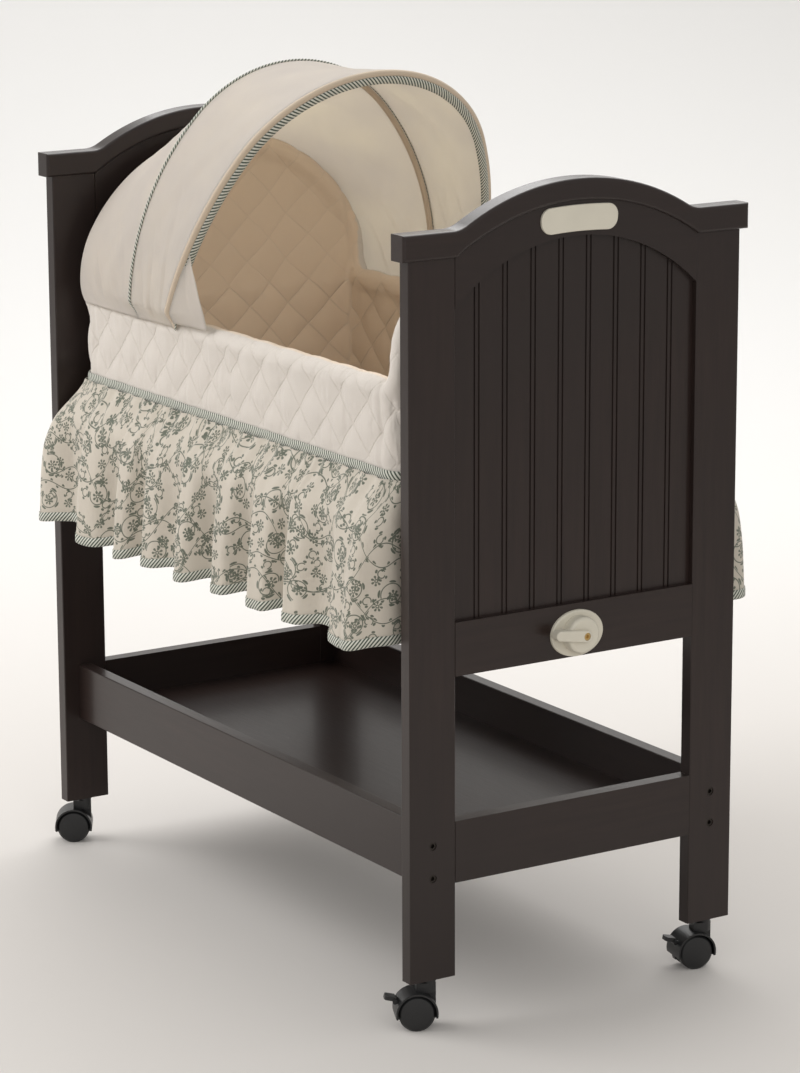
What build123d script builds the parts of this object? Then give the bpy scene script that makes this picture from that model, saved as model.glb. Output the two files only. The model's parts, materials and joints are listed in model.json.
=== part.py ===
from build123d import *
import math
import os

# Rocking bassinet: a wooden frame on four twin-wheel casters carries a fabric basket.
# The basket hangs from two pivot pins under the crest rails and rocks from side to side.
# A knob on the foot end turns to push a bolt into the basket's keeper and hold it still.
# The front hoop of the canopy folds back over the middle hoop.
# Frame: +X towards the foot end with the knob, +Y to the left of the foot end, +Z up.
# All sizes are in millimetres. The model is built about the middle of the wooden frame,
# and every piece is moved by one shift at the end, so that the origin is the middle of
# the whole object's box, on the floor.

# Wooden frame
frame_length = 894.0          # over the posts, head to foot
frame_width = 470.0           # over the posts, side to side
board = 19.0                  # thickness of every board
post_width = 63.5
post_bottom = 61.0            # height of the posts' lower ends above the floor
post_top = 923.0
edge_round = 1.5              # eased corners of the boards

# Crest rail on top of each end
crest_proud = 5.5             # past the posts' faces, inside and outside
crest_ear = 9.5               # past the posts' edges, each side
crest_end_height = 31.0
crest_rise = 48.0             # from the flat ends up to the crown
crest_top_radius = 305.0      # convex middle of the ogee
crest_ogee_half = 175.0       # half width of the raised part
crest_under_rise = 53.0       # arch of the underside
crest_round = 4.0

# Arched rail and beadboard panel
arch_rail_crown = 41.5        # depth of the arched rail at its middle
arch_opening_rise = 70.0      # rise of the panel's arched top
panel_thickness = 5.0
panel_recess = 8.0            # behind the posts' outer faces
panel_tongue = 6.0            # depth of the panel's edge in its groove
groove_clearance = 0.2
bead_pairs = 8
bead_pair_pitch = 39.2
bead_gap = 6.2                # between the two beads of a pair
bead_width = 2.4
bead_depth = 1.5

# Rails, side boards and shelf
middle_rail_bottom = 429.0
middle_rail_height = 65.0
tray_bottom = 176.5           # lower edge of the end rails and the side boards
tray_height = 76.0
shelf_rise = 22.5             # top of the shelf above the tray's lower edge
shelf_thickness = 5.0
shelf_tongue = 6.0            # past the boards' inner faces, in their grooves
shelf_tongue_thickness = 3.0  # the top face ends at the boards

# Frame bolts and their barrel nuts
bolt_radius = 3.0
bolt_head_radius = 5.0
bolt_head_height = 6.0
bolt_socket_radius = 2.9      # hexagon socket, over its corners
bolt_socket_depth = 3.0
bolt_sink = 1.0               # head below the post's face
bolt_pitch = 40.0
bolt_low_margin = 10.5        # lower bolt above the board's edge
nut_radius = 5.0
nut_length = 14.0
nut_setback = 35.0            # from the side board's end
nut_sink = 0.5                # nut below the board's inner face
bolt_past_nut = 2.0
end_room = 1.0                # free space past the end of a bolt or a nut in its hole
hole_clearance = 0.2

# Bare plate on the foot end
plate_width = 108.0
plate_height = 31.0
plate_thickness = 3.0
plate_corner = 14.0
plate_bend = 600.0            # radius of its middle line, flatter than the arch

# Lock on the middle rail of the foot end
lock_rise = 29.0              # axis above the rail's lower edge
rose_width = 75.0
rose_height = 57.0
rose_thickness = 4.0
sleeve_radius = 10.0
spindle_radius = 7.0
spindle_in_knob = 5.0
knob_radius = 22.5
knob_height = 14.0
lever_length = 44.0           # from the axis to the lever's tip
lever_width = 15.0
lever_tip_width = 12.6
lever_height = 6.0            # past the knob's face
lever_lift = 8.0              # degrees, lever above the level at rest
screw_head_radius = 4.6
screw_head_height = 3.0
screw_radius = 2.0
screw_sink = 4.0              # screw's seat below the lever's face
screw_socket_depth = 2.0
latch_radius = 5.0
latch_travel = 7.0
latch_gap = 1.5               # from the drawn-back latch to the keeper
lock_flange_size = 44.0
lock_flange_thickness = 4.0
turning_clearance = 0.1       # radial, round shafts and pins

# Pivots of the basket
pivot_drop = 26.0             # axis below the crest rail's underside at the crown
pivot_pin_radius = 6.0
pivot_shoulder_radius = 9.0
pivot_plate_width = 56.0
pivot_plate_height = 27.0
pivot_plate_thickness = 3.0
pivot_spigot = 12.0           # length of the pin's tail in the rail

# Basket
basket_end_gap = 33.5         # from the basket's end walls to the boards of the ends
rim_side_inset = 34.0         # rim tube's side rails inside the frame's width
rim_z = 757.0
rim_tube_radius = 8.0
rim_bend = 30.0               # from the side rails up into the end hoops
rim_arch_crown = 955.0
rim_arch_fullness = 0.715
roll_radius = 15.5            # padding round the tube
wall_outside = 13.5           # wall's outer face from the tube's middle
wall_inside = 9.0
basket_corner = 30.0
room_corner = 22.0             # inside corners of the walls
basket_floor_z = 477.0
floor_thickness = 4.0
soft_gap = 0.3                # between soft solids and their neighbours
hanger_thickness = 3.0
hanger_gap = 0.2              # rim tube to hanger
hanger_width = 40.0
hanger_eye = 16.0
hanger_foot = 72.0
hub_radius = 10.0
hub_length = 13.0
base_thickness = 6.0
base_gap = 1.0                # base board to the walls
mattress_thickness = 36.0
mattress_crown = 6.0
mattress_gap = 2.0            # mattress to the walls
mattress_base_draw = 5.0      # lower edge drawn in
mattress_top_draw = 7.0       # upper edge drawn in
mattress_crown_inset = 60.0   # from the sides to the crown's flat middle
keeper_width = 40.0
keeper_thickness = 3.0
keeper_reach_out = 18.5       # middle of the fork past the basket's end wall
keeper_reach_in = 45.0        # foot of the keeper under the basket's floor
keeper_margin = 8.0           # fork above and below the latch
keeper_bend = 2.0             # slope's foot past the basket's end wall

# Skirt and its binding
binding_z = 655.0
binding_height = 11.0
cloth = 2.0
skirt_hem_z = 464.0
skirt_puff_drop = 34.0        # where the gathers have swelled out
skirt_flare_side = 46.0       # hem past the basket's side walls
skirt_flare_end = 6.0         # hem past the basket's end walls
skirt_puff_side = 33.0
skirt_puff_end = 5.0
fold_depth_side = 9.0
fold_depth_end = 3.0
gather_depth = 1.2
fold_count = 30

# Canopy
hoop_radius = 2.5
hoop_foot_bend = 6.0
hoop_axis_z = 780.0
middle_hoop_reach = 158.0     # from the rim's head end to the hoop's feet
middle_hoop_spread = 26.0     # past the rim tube's side rails, each side
middle_hoop_tilt = 5.4
middle_hoop_height = 297.5
middle_hoop_fullness = 0.9
front_hoop_reach = 255.0
front_hoop_spread = 31.0
front_hoop_tilt = 25.2
front_hoop_height = 335.5
front_hoop_fullness = 0.746
canopy_hem_drop = 19.0        # fabric below the hoops' axes
canopy_gap = 2.5              # hoops to fabric
canopy_head_lap = 4.6         # fabric past the middle of the head arch's roll
clip_length = 20.0
clip_height = 15.0
clip_width = 14.0             # centred on the rim tube

# Casters
wheel_radius = 22.0
wheel_width = 14.0
wheel_gap = 9.0               # between the two wheels
wheel_shoulder = 2.5
wheel_dome = 1.5              # crown of the wheel's outer face
wheel_flat = 4.0              # radius of the flat in that crown's middle
wheel_cap = 3.0               # thickness of that face over the axle's end
dome_share = 0.6              # where the crown is measured, by radius
dome_drop_share = 0.3         # how far it has dropped there
caster_trail = 16.0           # wheel axis behind the stem
hood_gap = 1.2                # hood to tread
hood_thickness = 2.2
hood_low = 16.5               # lower edges of the hood above the floor
web_low = 12.0                # lower edge of the web between the wheels
caster_boss_radius = 8.0
boss_step = 2.0               # the boss's top above the parts beside it
stem_radius = 4.0
stem_length = 36.0
stem_depth = 7.5              # stem's lower end in the boss
stem_room = 0.5
stem_top_room = 2.0           # stem's upper end below the socket's
socket_radius = 5.5
socket_flange_radius = 9.0
socket_flange = 1.5
axle_radius = 2.5
brake_width = 14.0
brake_length = 13.0
brake_thickness = 5.0
brake_barrel = 3.0
brake_lift = 12.0             # degrees, tab above the level at rest
brake_pin_radius = 1.2
brake_rise_share = 0.55       # pin above the wheels' middle, of the hood's radius
brake_ear = 2.0               # ear past the lever, each side
brake_ear_height = 4.0
brake_root = 1.5              # ear's root inside the hood
# Direction in which each caster trails, in degrees from +X towards +Y
caster_trail_angle = {
    "foot_right": 245.0,
    "foot_left": 258.0,
    "head_right": 240.0,
    "head_left": 228.0,
}


def arch_side_radius(half_span, rise, fullness):
    """Radius of a three-centred arch's side arcs. A larger fullness gives squarer shoulders."""
    if rise < half_span:
        return fullness * rise
    return (half_span ** 2 + rise ** 2) / (2 * half_span * fullness)


# Places worked out from the sizes above
far = 200.0                   # past every piece of a caster
outer_x = frame_length / 2
inner_x = outer_x - board
half_width = frame_width / 2
opening_half = half_width - post_width
post_y = half_width - post_width / 2
crown_under = post_top + crest_under_rise
panel_top = crown_under - arch_rail_crown
panel_bottom = middle_rail_bottom + middle_rail_height
panel_face_x = outer_x - panel_recess
tray_top = tray_bottom + tray_height
shelf_z = tray_bottom + shelf_rise
bolt_tip_x = inner_x - nut_setback - nut_radius - bolt_past_nut
bolt_heights = [tray_bottom + bolt_low_margin, tray_bottom + bolt_low_margin + bolt_pitch]
lock_z = middle_rail_bottom + lock_rise
pivot_z = crown_under - pivot_drop
rim_x = inner_x - basket_end_gap - wall_outside
rim_y = half_width - rim_side_inset
wall_x = rim_x + wall_outside
wall_y = rim_y + wall_outside
room_x = rim_x - wall_inside
room_y = rim_y - wall_inside
keeper_x = wall_x + keeper_reach_out
hanger_x = rim_x + rim_tube_radius + hanger_gap
foot_z = basket_floor_z + floor_thickness + soft_gap
base_z = foot_z + hanger_thickness + soft_gap
mattress_z = base_z + base_thickness + soft_gap
rim_spring = rim_z + rim_bend
rim_arch_rise = rim_arch_crown - rim_spring
rim_side_radius = arch_side_radius(rim_y, rim_arch_rise, rim_arch_fullness)
middle_hoop_x = middle_hoop_reach - rim_x
front_hoop_x = front_hoop_reach - rim_x
middle_half = rim_y + middle_hoop_spread
front_half = rim_y + front_hoop_spread
middle_side_radius = arch_side_radius(middle_half, middle_hoop_height, middle_hoop_fullness)
front_side_radius = arch_side_radius(front_half, front_hoop_height, front_hoop_fullness)
canopy_reach = hoop_radius + canopy_gap

# Each arch that carries the canopy, as a hoop's line: half width, height over the hoops'
# axes, radius of the side arcs, and where those arcs start. The head's follows the roll.
over_roll = roll_radius + soft_gap - canopy_reach
head_arch = (
    rim_y + over_roll,
    rim_arch_crown + over_roll - hoop_axis_z,
    rim_side_radius + over_roll,
    rim_spring - hoop_axis_z,
)
middle_arch = (middle_half, middle_hoop_height, middle_side_radius, hoop_foot_bend)
front_arch = (front_half, front_hoop_height, front_side_radius, hoop_foot_bend)

pieces = {}


def side_names():
    """The four corners: name, sign along X, sign along Y."""
    return [
        ("foot_right", 1, -1),
        ("foot_left", 1, 1),
        ("head_right", -1, -1),
        ("head_left", -1, 1),
    ]


def block(x_low, x_high, y_low, y_high, z_low, z_high):
    """A box between two corners."""
    size = (x_high - x_low, y_high - y_low, z_high - z_low)
    middle = ((x_high + x_low) / 2, (y_high + y_low) / 2, (z_high + z_low) / 2)
    return Pos(*middle) * Box(*size)


def rod_x(radius, x_low, x_high, y, z):
    """A round bar along X."""
    plane = Plane(origin=(x_low, y, z), z_dir=(1, 0, 0))
    return extrude(plane * Circle(radius), x_high - x_low)


def rod_y(radius, x, y_low, y_high, z):
    """A round bar along Y."""
    plane = Plane(origin=(x, y_low, z), z_dir=(0, 1, 0))
    return extrude(plane * Circle(radius), y_high - y_low)


def rod_z(radius, x, y, z_low, z_high):
    """A round bar along Z."""
    return extrude(Pos(x, y, z_low) * Circle(radius), z_high - z_low)


def end_plate(outline, x_low, x_high):
    """An outline drawn as (Y, Z), made a plate between two places along X."""
    face = Plane(origin=(x_low, 0, 0), x_dir=(0, 1, 0), z_dir=(1, 0, 0)) * make_face(outline)
    return extrude(face, x_high - x_low)


def both_ends(foot_piece):
    """The foot end's piece and its mirror image at the head end."""
    return foot_piece, mirror(foot_piece, Plane.YZ)


def crest_outline():
    """Ogee top over flat ends, arched underside."""
    ear = half_width + crest_ear
    shoulder = post_top + crest_end_height
    turn = 2 * math.atan(crest_rise / crest_ogee_half)
    hollow = crest_ogee_half / math.sin(turn) - crest_top_radius
    crown = shoulder + crest_rise
    join_y = crest_top_radius * math.sin(turn)
    join_z = crown - crest_top_radius * (1 - math.cos(turn))
    dip_y = crest_ogee_half - hollow * math.sin(turn / 2)
    dip_z = shoulder + hollow * (1 - math.cos(turn / 2))
    return [
        Line((-ear, post_top), (-opening_half, post_top)),
        ThreePointArc((-opening_half, post_top), (0, crown_under), (opening_half, post_top)),
        Line((opening_half, post_top), (ear, post_top)),
        Line((ear, post_top), (ear, shoulder)),
        Line((ear, shoulder), (crest_ogee_half, shoulder)),
        ThreePointArc((crest_ogee_half, shoulder), (dip_y, dip_z), (join_y, join_z)),
        ThreePointArc((join_y, join_z), (0, crown), (-join_y, join_z)),
        ThreePointArc((-join_y, join_z), (-dip_y, dip_z), (-crest_ogee_half, shoulder)),
        Line((-crest_ogee_half, shoulder), (-ear, shoulder)),
        Line((-ear, shoulder), (-ear, post_top)),
    ]


def crest_rail():
    x_low = inner_x - crest_proud
    x_high = outer_x + crest_proud
    rail = end_plate(crest_outline(), x_low, x_high)
    faces = rail.faces().sort_by(Axis.X)
    edges = faces[0].edges() + faces[-1].edges()
    return fillet(edges, crest_round)


def arch_rail():
    spring = panel_top - arch_opening_rise
    outline = [
        ThreePointArc((-opening_half, post_top), (0, crown_under), (opening_half, post_top)),
        Line((opening_half, post_top), (opening_half, spring)),
        ThreePointArc((opening_half, spring), (0, panel_top), (-opening_half, spring)),
        Line((-opening_half, spring), (-opening_half, post_top)),
    ]
    return end_plate(outline, inner_x, outer_x)


def panel_solid(grow, thicken):
    """The arched panel with its edges pushed out by grow and its faces by thicken."""
    radius = (opening_half ** 2 + arch_opening_rise ** 2) / (2 * arch_opening_rise)
    centre_z = panel_top - radius
    edge_y = opening_half + grow
    spring = centre_z + math.sqrt((radius + grow) ** 2 - edge_y ** 2)
    low = panel_bottom - grow
    outline = [
        Line((-edge_y, low), (edge_y, low)),
        Line((edge_y, low), (edge_y, spring)),
        ThreePointArc((edge_y, spring), (0, panel_top + grow), (-edge_y, spring)),
        Line((-edge_y, spring), (-edge_y, low)),
    ]
    return end_plate(outline, panel_face_x - panel_thickness - thicken, panel_face_x + thicken)


def bead_panel():
    panel = panel_solid(panel_tongue, 0)
    for pair in range(bead_pairs):
        middle = (pair - (bead_pairs - 1) / 2) * bead_pair_pitch
        for side in (-1, 1):
            y = middle + side * bead_gap / 2
            low_x = panel_face_x - bead_depth
            bead = block(low_x, outer_x, y - bead_width / 2, y + bead_width / 2, 0, crown_under)
            panel -= bead
    return panel


def bolt_holes(y):
    """Everything that the two frame bolts of one foot corner take out of the wood."""
    holes = []
    shank_end = bolt_tip_x - end_room
    seat_x = outer_x - bolt_sink - bolt_head_height
    for z in bolt_heights:
        holes.append(rod_x(bolt_radius + hole_clearance, shank_end, outer_x, y, z))
        holes.append(rod_x(bolt_head_radius + hole_clearance, seat_x, outer_x, y, z))
    return holes


def post(panel_groove):
    """The foot end's left post: groove for the panel, bolt holes, bore for the caster's socket."""
    solid = block(inner_x, outer_x, opening_half, half_width, post_bottom, post_top)
    solid = fillet(solid.edges().filter_by(Axis.Z), edge_round)
    solid -= panel_groove
    for hole in bolt_holes(post_y):
        solid -= hole
    bore_top = post_bottom + stem_length + end_room
    solid -= rod_z(socket_radius + hole_clearance / 2, stem_x, post_y, post_bottom, bore_top)
    return solid


def middle_rail(panel_groove):
    rail = block(inner_x, outer_x, -opening_half, opening_half, middle_rail_bottom, panel_bottom)
    return rail - panel_groove


def side_board():
    """The left side board, grooved for the shelf and drilled at both ends."""
    y_low = post_y - board / 2
    y_high = post_y + board / 2
    solid = block(-inner_x, inner_x, y_low, y_high, tray_bottom, tray_top)
    solid = fillet(solid.edges().filter_by(Axis.X), edge_round)
    solid -= shelf_tongues(groove_clearance)
    for hole in bolt_holes(post_y):
        solid -= hole
        solid -= mirror(hole, Plane.YZ)
    for z in bolt_heights:
        for x in (-inner_x + nut_setback, inner_x - nut_setback):
            nut_end = y_low + nut_sink + nut_length + end_room
            solid -= rod_y(nut_radius + hole_clearance / 2, x, y_low, nut_end, z)
    return solid


def shelf_tongues(grow=0.0):
    """The shelf's lower layer, whose edges are the tongues, or with grow their grooves."""
    edge = post_y - board / 2 + shelf_tongue + grow
    low = shelf_z - shelf_thickness
    high = low + shelf_tongue_thickness
    return block(-inner_x, inner_x, -edge, edge, low - grow, high + grow)


def shelf():
    """Shelf panel with a rebated tongue along each side board."""
    edge = post_y - board / 2 - groove_clearance
    low = shelf_z - shelf_thickness
    return shelf_tongues() + block(-inner_x, inner_x, -edge, edge, low, shelf_z)


def frame_bolt(x_sign, y, z):
    """Socket-head bolt from the post's face into the side board."""
    face = outer_x - bolt_sink
    seat = face - bolt_head_height
    solid = rod_x(bolt_head_radius, seat, face, y, z)
    solid += rod_x(bolt_radius, bolt_tip_x, seat, y, z)
    plane = Plane(origin=(face - bolt_socket_depth, y, z), z_dir=(1, 0, 0))
    solid -= extrude(plane * RegularPolygon(bolt_socket_radius, 6), bolt_socket_depth)
    return solid if x_sign > 0 else mirror(solid, Plane.YZ)


def barrel_nut(x, y_sign, z):
    """Cross dowel in the side board, open on the board's inner face."""
    y_low = post_y - board / 2 + nut_sink
    solid = rod_y(nut_radius, x, y_low, y_low + nut_length, z)
    solid -= rod_x(bolt_radius + hole_clearance, x - 2 * nut_radius, x + 2 * nut_radius, post_y, z)
    return solid if y_sign > 0 else mirror(solid, Plane.XZ)


def name_plate():
    """Bare plate, slightly bent to go with the arch, with rounded ends and an eased edge."""
    middle_z = (crown_under + panel_top) / 2
    centre_z = middle_z - plate_bend
    angle = plate_width / 2 / plate_bend
    high = plate_bend + plate_height / 2
    low = plate_bend - plate_height / 2

    def at(radius, turn):
        return (radius * math.sin(turn), centre_z + radius * math.cos(turn))

    outline = [
        ThreePointArc(at(high, -angle), at(high, 0), at(high, angle)),
        Line(at(high, angle), at(low, angle)),
        ThreePointArc(at(low, angle), at(low, 0), at(low, -angle)),
        Line(at(low, -angle), at(high, -angle)),
    ]
    solid = end_plate(outline, outer_x, outer_x + plate_thickness)
    corners = solid.edges().filter_by(Axis.X)
    solid = fillet(corners, plate_corner)
    rim = solid.faces().sort_by(Axis.X)[-1].edges()
    return fillet(rim, plate_thickness / 3)


def lock_rose():
    """Oval rose on the rail's face with a sleeve through the rail."""
    plane = Plane(origin=(outer_x, 0, lock_z), x_dir=(0, 1, 0), z_dir=(1, 0, 0))
    solid = extrude(plane * Ellipse(rose_width / 2, rose_height / 2), rose_thickness)
    solid = fillet(solid.faces().sort_by(Axis.X)[-1].edges(), rose_thickness * 0.6)
    solid += rod_x(sleeve_radius, inner_x, outer_x, 0, lock_z)
    bore = rod_x(spindle_radius + turning_clearance, inner_x, outer_x + rose_thickness, 0, lock_z)
    return solid - bore


def lock_flange():
    """Square plate on the rail's inner face that guides the latch."""
    low_x = inner_x - lock_flange_thickness
    half = lock_flange_size / 2
    solid = block(low_x, inner_x, -half, half, lock_z - half, lock_z + half)
    solid = fillet(solid.edges().filter_by(Axis.X), edge_round * 2)
    guide = rod_x(latch_radius + turning_clearance, low_x, inner_x, 0, lock_z)
    return solid - guide


knob_back_x = outer_x + rose_thickness + soft_gap
spindle_end_x = knob_back_x + spindle_in_knob
knob_face_x = knob_back_x + knob_height


def lock_spindle():
    """Hollow spindle between the knob and the latch."""
    solid = rod_x(spindle_radius, inner_x + soft_gap, spindle_end_x, 0, lock_z)
    solid -= rod_x(latch_radius + turning_clearance, inner_x, outer_x, 0, lock_z)
    return solid - rod_x(screw_radius, outer_x, spindle_end_x, 0, lock_z)


def lock_knob():
    """Round boss with a tapered lever that rises from its face."""
    boss = rod_x(knob_radius, knob_back_x, knob_face_x, 0, lock_z)
    boss = fillet(boss.faces().sort_by(Axis.X)[-1].edges(), knob_height / 3)
    root_half = lever_width / 2
    tip_half = lever_tip_width / 2
    reach = lever_length - tip_half
    outline = [
        ThreePointArc((0, root_half), (root_half, 0), (0, -root_half)),
        Line((0, -root_half), (-reach, -tip_half)),
        ThreePointArc((-reach, -tip_half), (-lever_length, 0), (-reach, tip_half)),
        Line((-reach, tip_half), (0, root_half)),
    ]
    tilt = math.radians(-lever_lift)
    plane = Plane(
        origin=(knob_face_x - lever_height, 0, lock_z),
        x_dir=(0, math.cos(tilt), math.sin(tilt)),
        z_dir=(1, 0, 0),
    )
    lever = extrude(plane * make_face(outline), 2 * lever_height)
    lever = fillet(lever.faces().sort_by(Axis.X)[-1].edges(), lever_height / 3)
    solid = boss + lever
    top_x = knob_face_x + lever_height
    solid -= rod_x(screw_head_radius + hole_clearance, top_x - screw_sink, top_x, 0, lock_z)
    solid -= rod_x(screw_radius + hole_clearance, spindle_end_x, top_x, 0, lock_z)
    return solid - rod_x(spindle_radius, knob_back_x, spindle_end_x, 0, lock_z)


def lock_screw():
    """Socket-head screw that holds the knob on its spindle."""
    seat = knob_face_x + lever_height - screw_sink
    face = seat + screw_head_height
    solid = rod_x(screw_head_radius, seat, face, 0, lock_z)
    solid += rod_x(screw_radius, outer_x + end_room, seat, 0, lock_z)
    plane = Plane(origin=(face - screw_socket_depth, 0, lock_z), z_dir=(1, 0, 0))
    return solid - extrude(plane * RegularPolygon(screw_head_radius / 2, 6), screw_socket_depth)


def lock_latch():
    """Round latch, drawn back, that slides through the flange into the keeper's fork."""
    tip = keeper_x + keeper_thickness / 2 + latch_gap
    bar = rod_x(latch_radius, tip, outer_x - latch_travel / 2, 0, lock_z)
    return chamfer(bar.faces().sort_by(Axis.X)[0].edges(), latch_radius / 5)


def pivot_bracket():
    """Plate on the arched rail with a shouldered pin for the basket's hanger."""
    face = inner_x - pivot_plate_thickness
    half_y = pivot_plate_width / 2
    half_z = pivot_plate_height / 2
    plate = block(face, inner_x, -half_y, half_y, pivot_z - half_z, pivot_z + half_z)
    plate = fillet(plate.edges().filter_by(Axis.X), edge_round * 3)
    hub_face = hanger_x + hanger_thickness + hub_length
    pin_tip = hanger_x + soft_gap
    solid = plate + rod_x(pivot_shoulder_radius, hub_face + soft_gap, face, 0, pivot_z)
    solid += rod_x(pivot_pin_radius, pin_tip, hub_face + soft_gap, 0, pivot_z)
    return solid + rod_x(pivot_pin_radius, inner_x, inner_x + pivot_spigot, 0, pivot_z)


def arch_edges(plane, half_span, rise, side_radius, lift=0.0):
    """Three-centred arch from one foot to the other: side arc, top arc, side arc.

    The side arcs stand upright at the feet, which are lift above the plane's origin. The top
    arc's radius follows from the side arcs being tangent to it.
    """
    top_radius = (half_span - side_radius) ** 2 + rise ** 2 - side_radius ** 2
    top_radius /= 2 * (rise - side_radius)
    centre_v = rise - top_radius
    turn = math.atan2(centre_v, side_radius - half_span)
    if side_radius < half_span:
        turn = math.pi / 2 - math.atan2(half_span - side_radius, -centre_v)
    join = (
        half_span - side_radius + side_radius * math.cos(turn),
        lift + side_radius * math.sin(turn),
    )
    side = (
        half_span - side_radius + side_radius * math.cos(turn / 2),
        lift + side_radius * math.sin(turn / 2),
    )
    foot = (half_span, lift)
    crown = (0, lift + rise)

    def at(point, sign=1):
        return plane.from_local_coords(Vector(sign * point[0], point[1], 0))

    return [
        ThreePointArc(at(foot), at(side), at(join)),
        ThreePointArc(at(join), at(crown), at(join, -1)),
        ThreePointArc(at(join, -1), at(side, -1), at(foot, -1)),
    ]


def end_plane(x):
    """Upright plane across the basket at x, drawn as (Y, Z)."""
    return Plane(origin=(x, 0, 0), x_dir=(0, 1, 0), z_dir=(1, 0, 0))


def hoop_plane(x, tilt, push=0.0):
    """Plane of a canopy hoop: through its axis at x, leaning towards the foot end by tilt."""
    lean = math.radians(tilt)
    normal = (math.cos(lean), 0, -math.sin(lean))
    origin = (x + push * normal[0], 0, hoop_axis_z + push * normal[2])
    return Plane(origin=origin, x_dir=(0, 1, 0), z_dir=normal)


def rim_bar(radius):
    """The rim's line made a round bar: side rails that bend up into an arch at each end."""
    spring = rim_spring
    half = math.sqrt(0.5) * rim_bend
    bend_x = rim_x - rim_bend
    arch = arch_edges(end_plane(rim_x), rim_y, rim_arch_rise, rim_side_radius, spring)
    line = [Line((0, rim_y, rim_z), (bend_x, rim_y, rim_z))]
    line.append(
        ThreePointArc(
            (bend_x, rim_y, rim_z),
            (bend_x + half, rim_y, spring - half),
            (rim_x, rim_y, spring),
        )
    )
    line += arch
    line.append(
        ThreePointArc(
            (rim_x, -rim_y, spring),
            (bend_x + half, -rim_y, spring - half),
            (bend_x, -rim_y, rim_z),
        )
    )
    line.append(Line((bend_x, -rim_y, rim_z), (0, -rim_y, rim_z)))
    start = Plane(origin=(0, rim_y, rim_z), z_dir=(1, 0, 0))
    half_bar = sweep(start * Circle(radius), path=Wire(line))
    return half_bar + mirror(half_bar, Plane.YZ)


def hanger(grow=0.0):
    """Flat hanger at the foot end: eye and hub on the pivot, strap down, foot under the base."""
    x_low = hanger_x - grow
    x_high = hanger_x + hanger_thickness + grow
    half = hanger_width / 2 + grow
    eye = rod_x(hanger_eye + grow, x_low, x_high, 0, pivot_z)
    narrow = block(x_low, x_high, -hanger_eye - grow, hanger_eye + grow, rim_z, pivot_z)
    wide = block(x_low, x_high, -half, half, foot_z - grow, rim_z)
    foot_low = hanger_x - hanger_foot - grow
    foot = block(foot_low, x_high, -half, half, foot_z - grow, foot_z + hanger_thickness + grow)
    hub_end = hanger_x + hanger_thickness + hub_length
    hub = rod_x(hub_radius + grow, x_low, hub_end + grow, 0, pivot_z)
    solid = eye + narrow + wide + foot + hub
    if grow == 0:
        solid -= rod_x(pivot_pin_radius + turning_clearance, x_low, hub_end, 0, pivot_z)
    return solid


def plan(half_x, half_y, radius, z):
    """Rounded rectangle at height z."""
    return Pos(0, 0, z) * RectangleRounded(2 * half_x, 2 * half_y, radius)


def basket_shell():
    """Quilted walls, arched ends and floor, with a padded roll along the whole rim."""
    height = rim_z - basket_floor_z
    walls = extrude(plan(wall_x, wall_y, basket_corner, basket_floor_z), height)
    room_floor = basket_floor_z + floor_thickness
    room = extrude(plan(room_x, room_y, room_corner, room_floor), height)
    shell = walls - room
    arch = arch_edges(end_plane(room_x), rim_y, rim_arch_rise, rim_side_radius, rim_spring)
    low = rim_z - rim_bend
    corner = [(room_x, sign * rim_y, low) for sign in (-1, 1)]
    outline = arch + [
        Line((room_x, -rim_y, rim_spring), corner[0]),
        Line(corner[0], corner[1]),
        Line(corner[1], (room_x, rim_y, rim_spring)),
    ]
    end_wall = extrude(make_face(outline), wall_x - room_x, dir=(1, 0, 0))
    shell += end_wall
    shell += mirror(end_wall, Plane.YZ)
    shell += rim_bar(roll_radius)
    shell -= rim_bar(rim_tube_radius + soft_gap)
    pocket = hanger(soft_gap)
    shell -= pocket
    shell -= mirror(pocket, Plane.YZ)
    for x in (middle_hoop_x, front_hoop_x):
        for sign in (-1, 1):
            shell -= canopy_clip(x, sign, soft_gap)
    return shell


def base_board():
    radius = room_corner - base_gap
    return extrude(plan(room_x - base_gap, room_y - base_gap, radius, base_z), base_thickness)


def mattress():
    """Pad with drawn-in sides and a crowned top."""
    half_x = room_x - mattress_gap
    half_y = room_y - mattress_gap
    radius = room_corner - mattress_gap
    levels = [
        (0.0, mattress_base_draw),
        (0.25, 0.0),
        (0.75, 0.0),
        (1.0, mattress_top_draw),
    ]
    sections = [
        plan(half_x - draw, half_y - draw, radius, mattress_z + share * mattress_thickness)
        for share, draw in levels
    ]
    crown_z = mattress_z + mattress_thickness + mattress_crown
    inset = mattress_crown_inset
    sections.append(plan(half_x - inset, half_y - inset, radius, crown_z))
    return loft(sections, ruled=True)


def keeper():
    """Bent strap under the basket's floor that ends in an upright fork for the latch."""
    top = basket_floor_z - soft_gap
    low_z = lock_z - latch_radius - keeper_margin
    high_z = lock_z + latch_radius + keeper_margin
    fork_low_x = keeper_x - keeper_thickness / 2
    fork_high_x = keeper_x + keeper_thickness / 2
    strap_low = low_z - keeper_thickness
    inner = rim_x - keeper_reach_in
    points = [
        (inner, top),
        (rim_x, top),
        (wall_x + keeper_bend, low_z),
        (fork_low_x, low_z),
        (fork_low_x, high_z),
        (fork_high_x, high_z),
        (fork_high_x, strap_low),
        (wall_x, strap_low),
        (rim_x - keeper_bend, top - keeper_thickness),
        (inner, top - keeper_thickness),
    ]
    plane = Plane(origin=(0, keeper_width / 2, 0), x_dir=(1, 0, 0), z_dir=(0, -1, 0))
    solid = extrude(plane * make_face(Polyline(*points, close=True)), keeper_width)
    half = latch_radius + soft_gap
    return solid - block(fork_low_x, fork_high_x, -half, half, lock_z - half, high_z)


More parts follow.
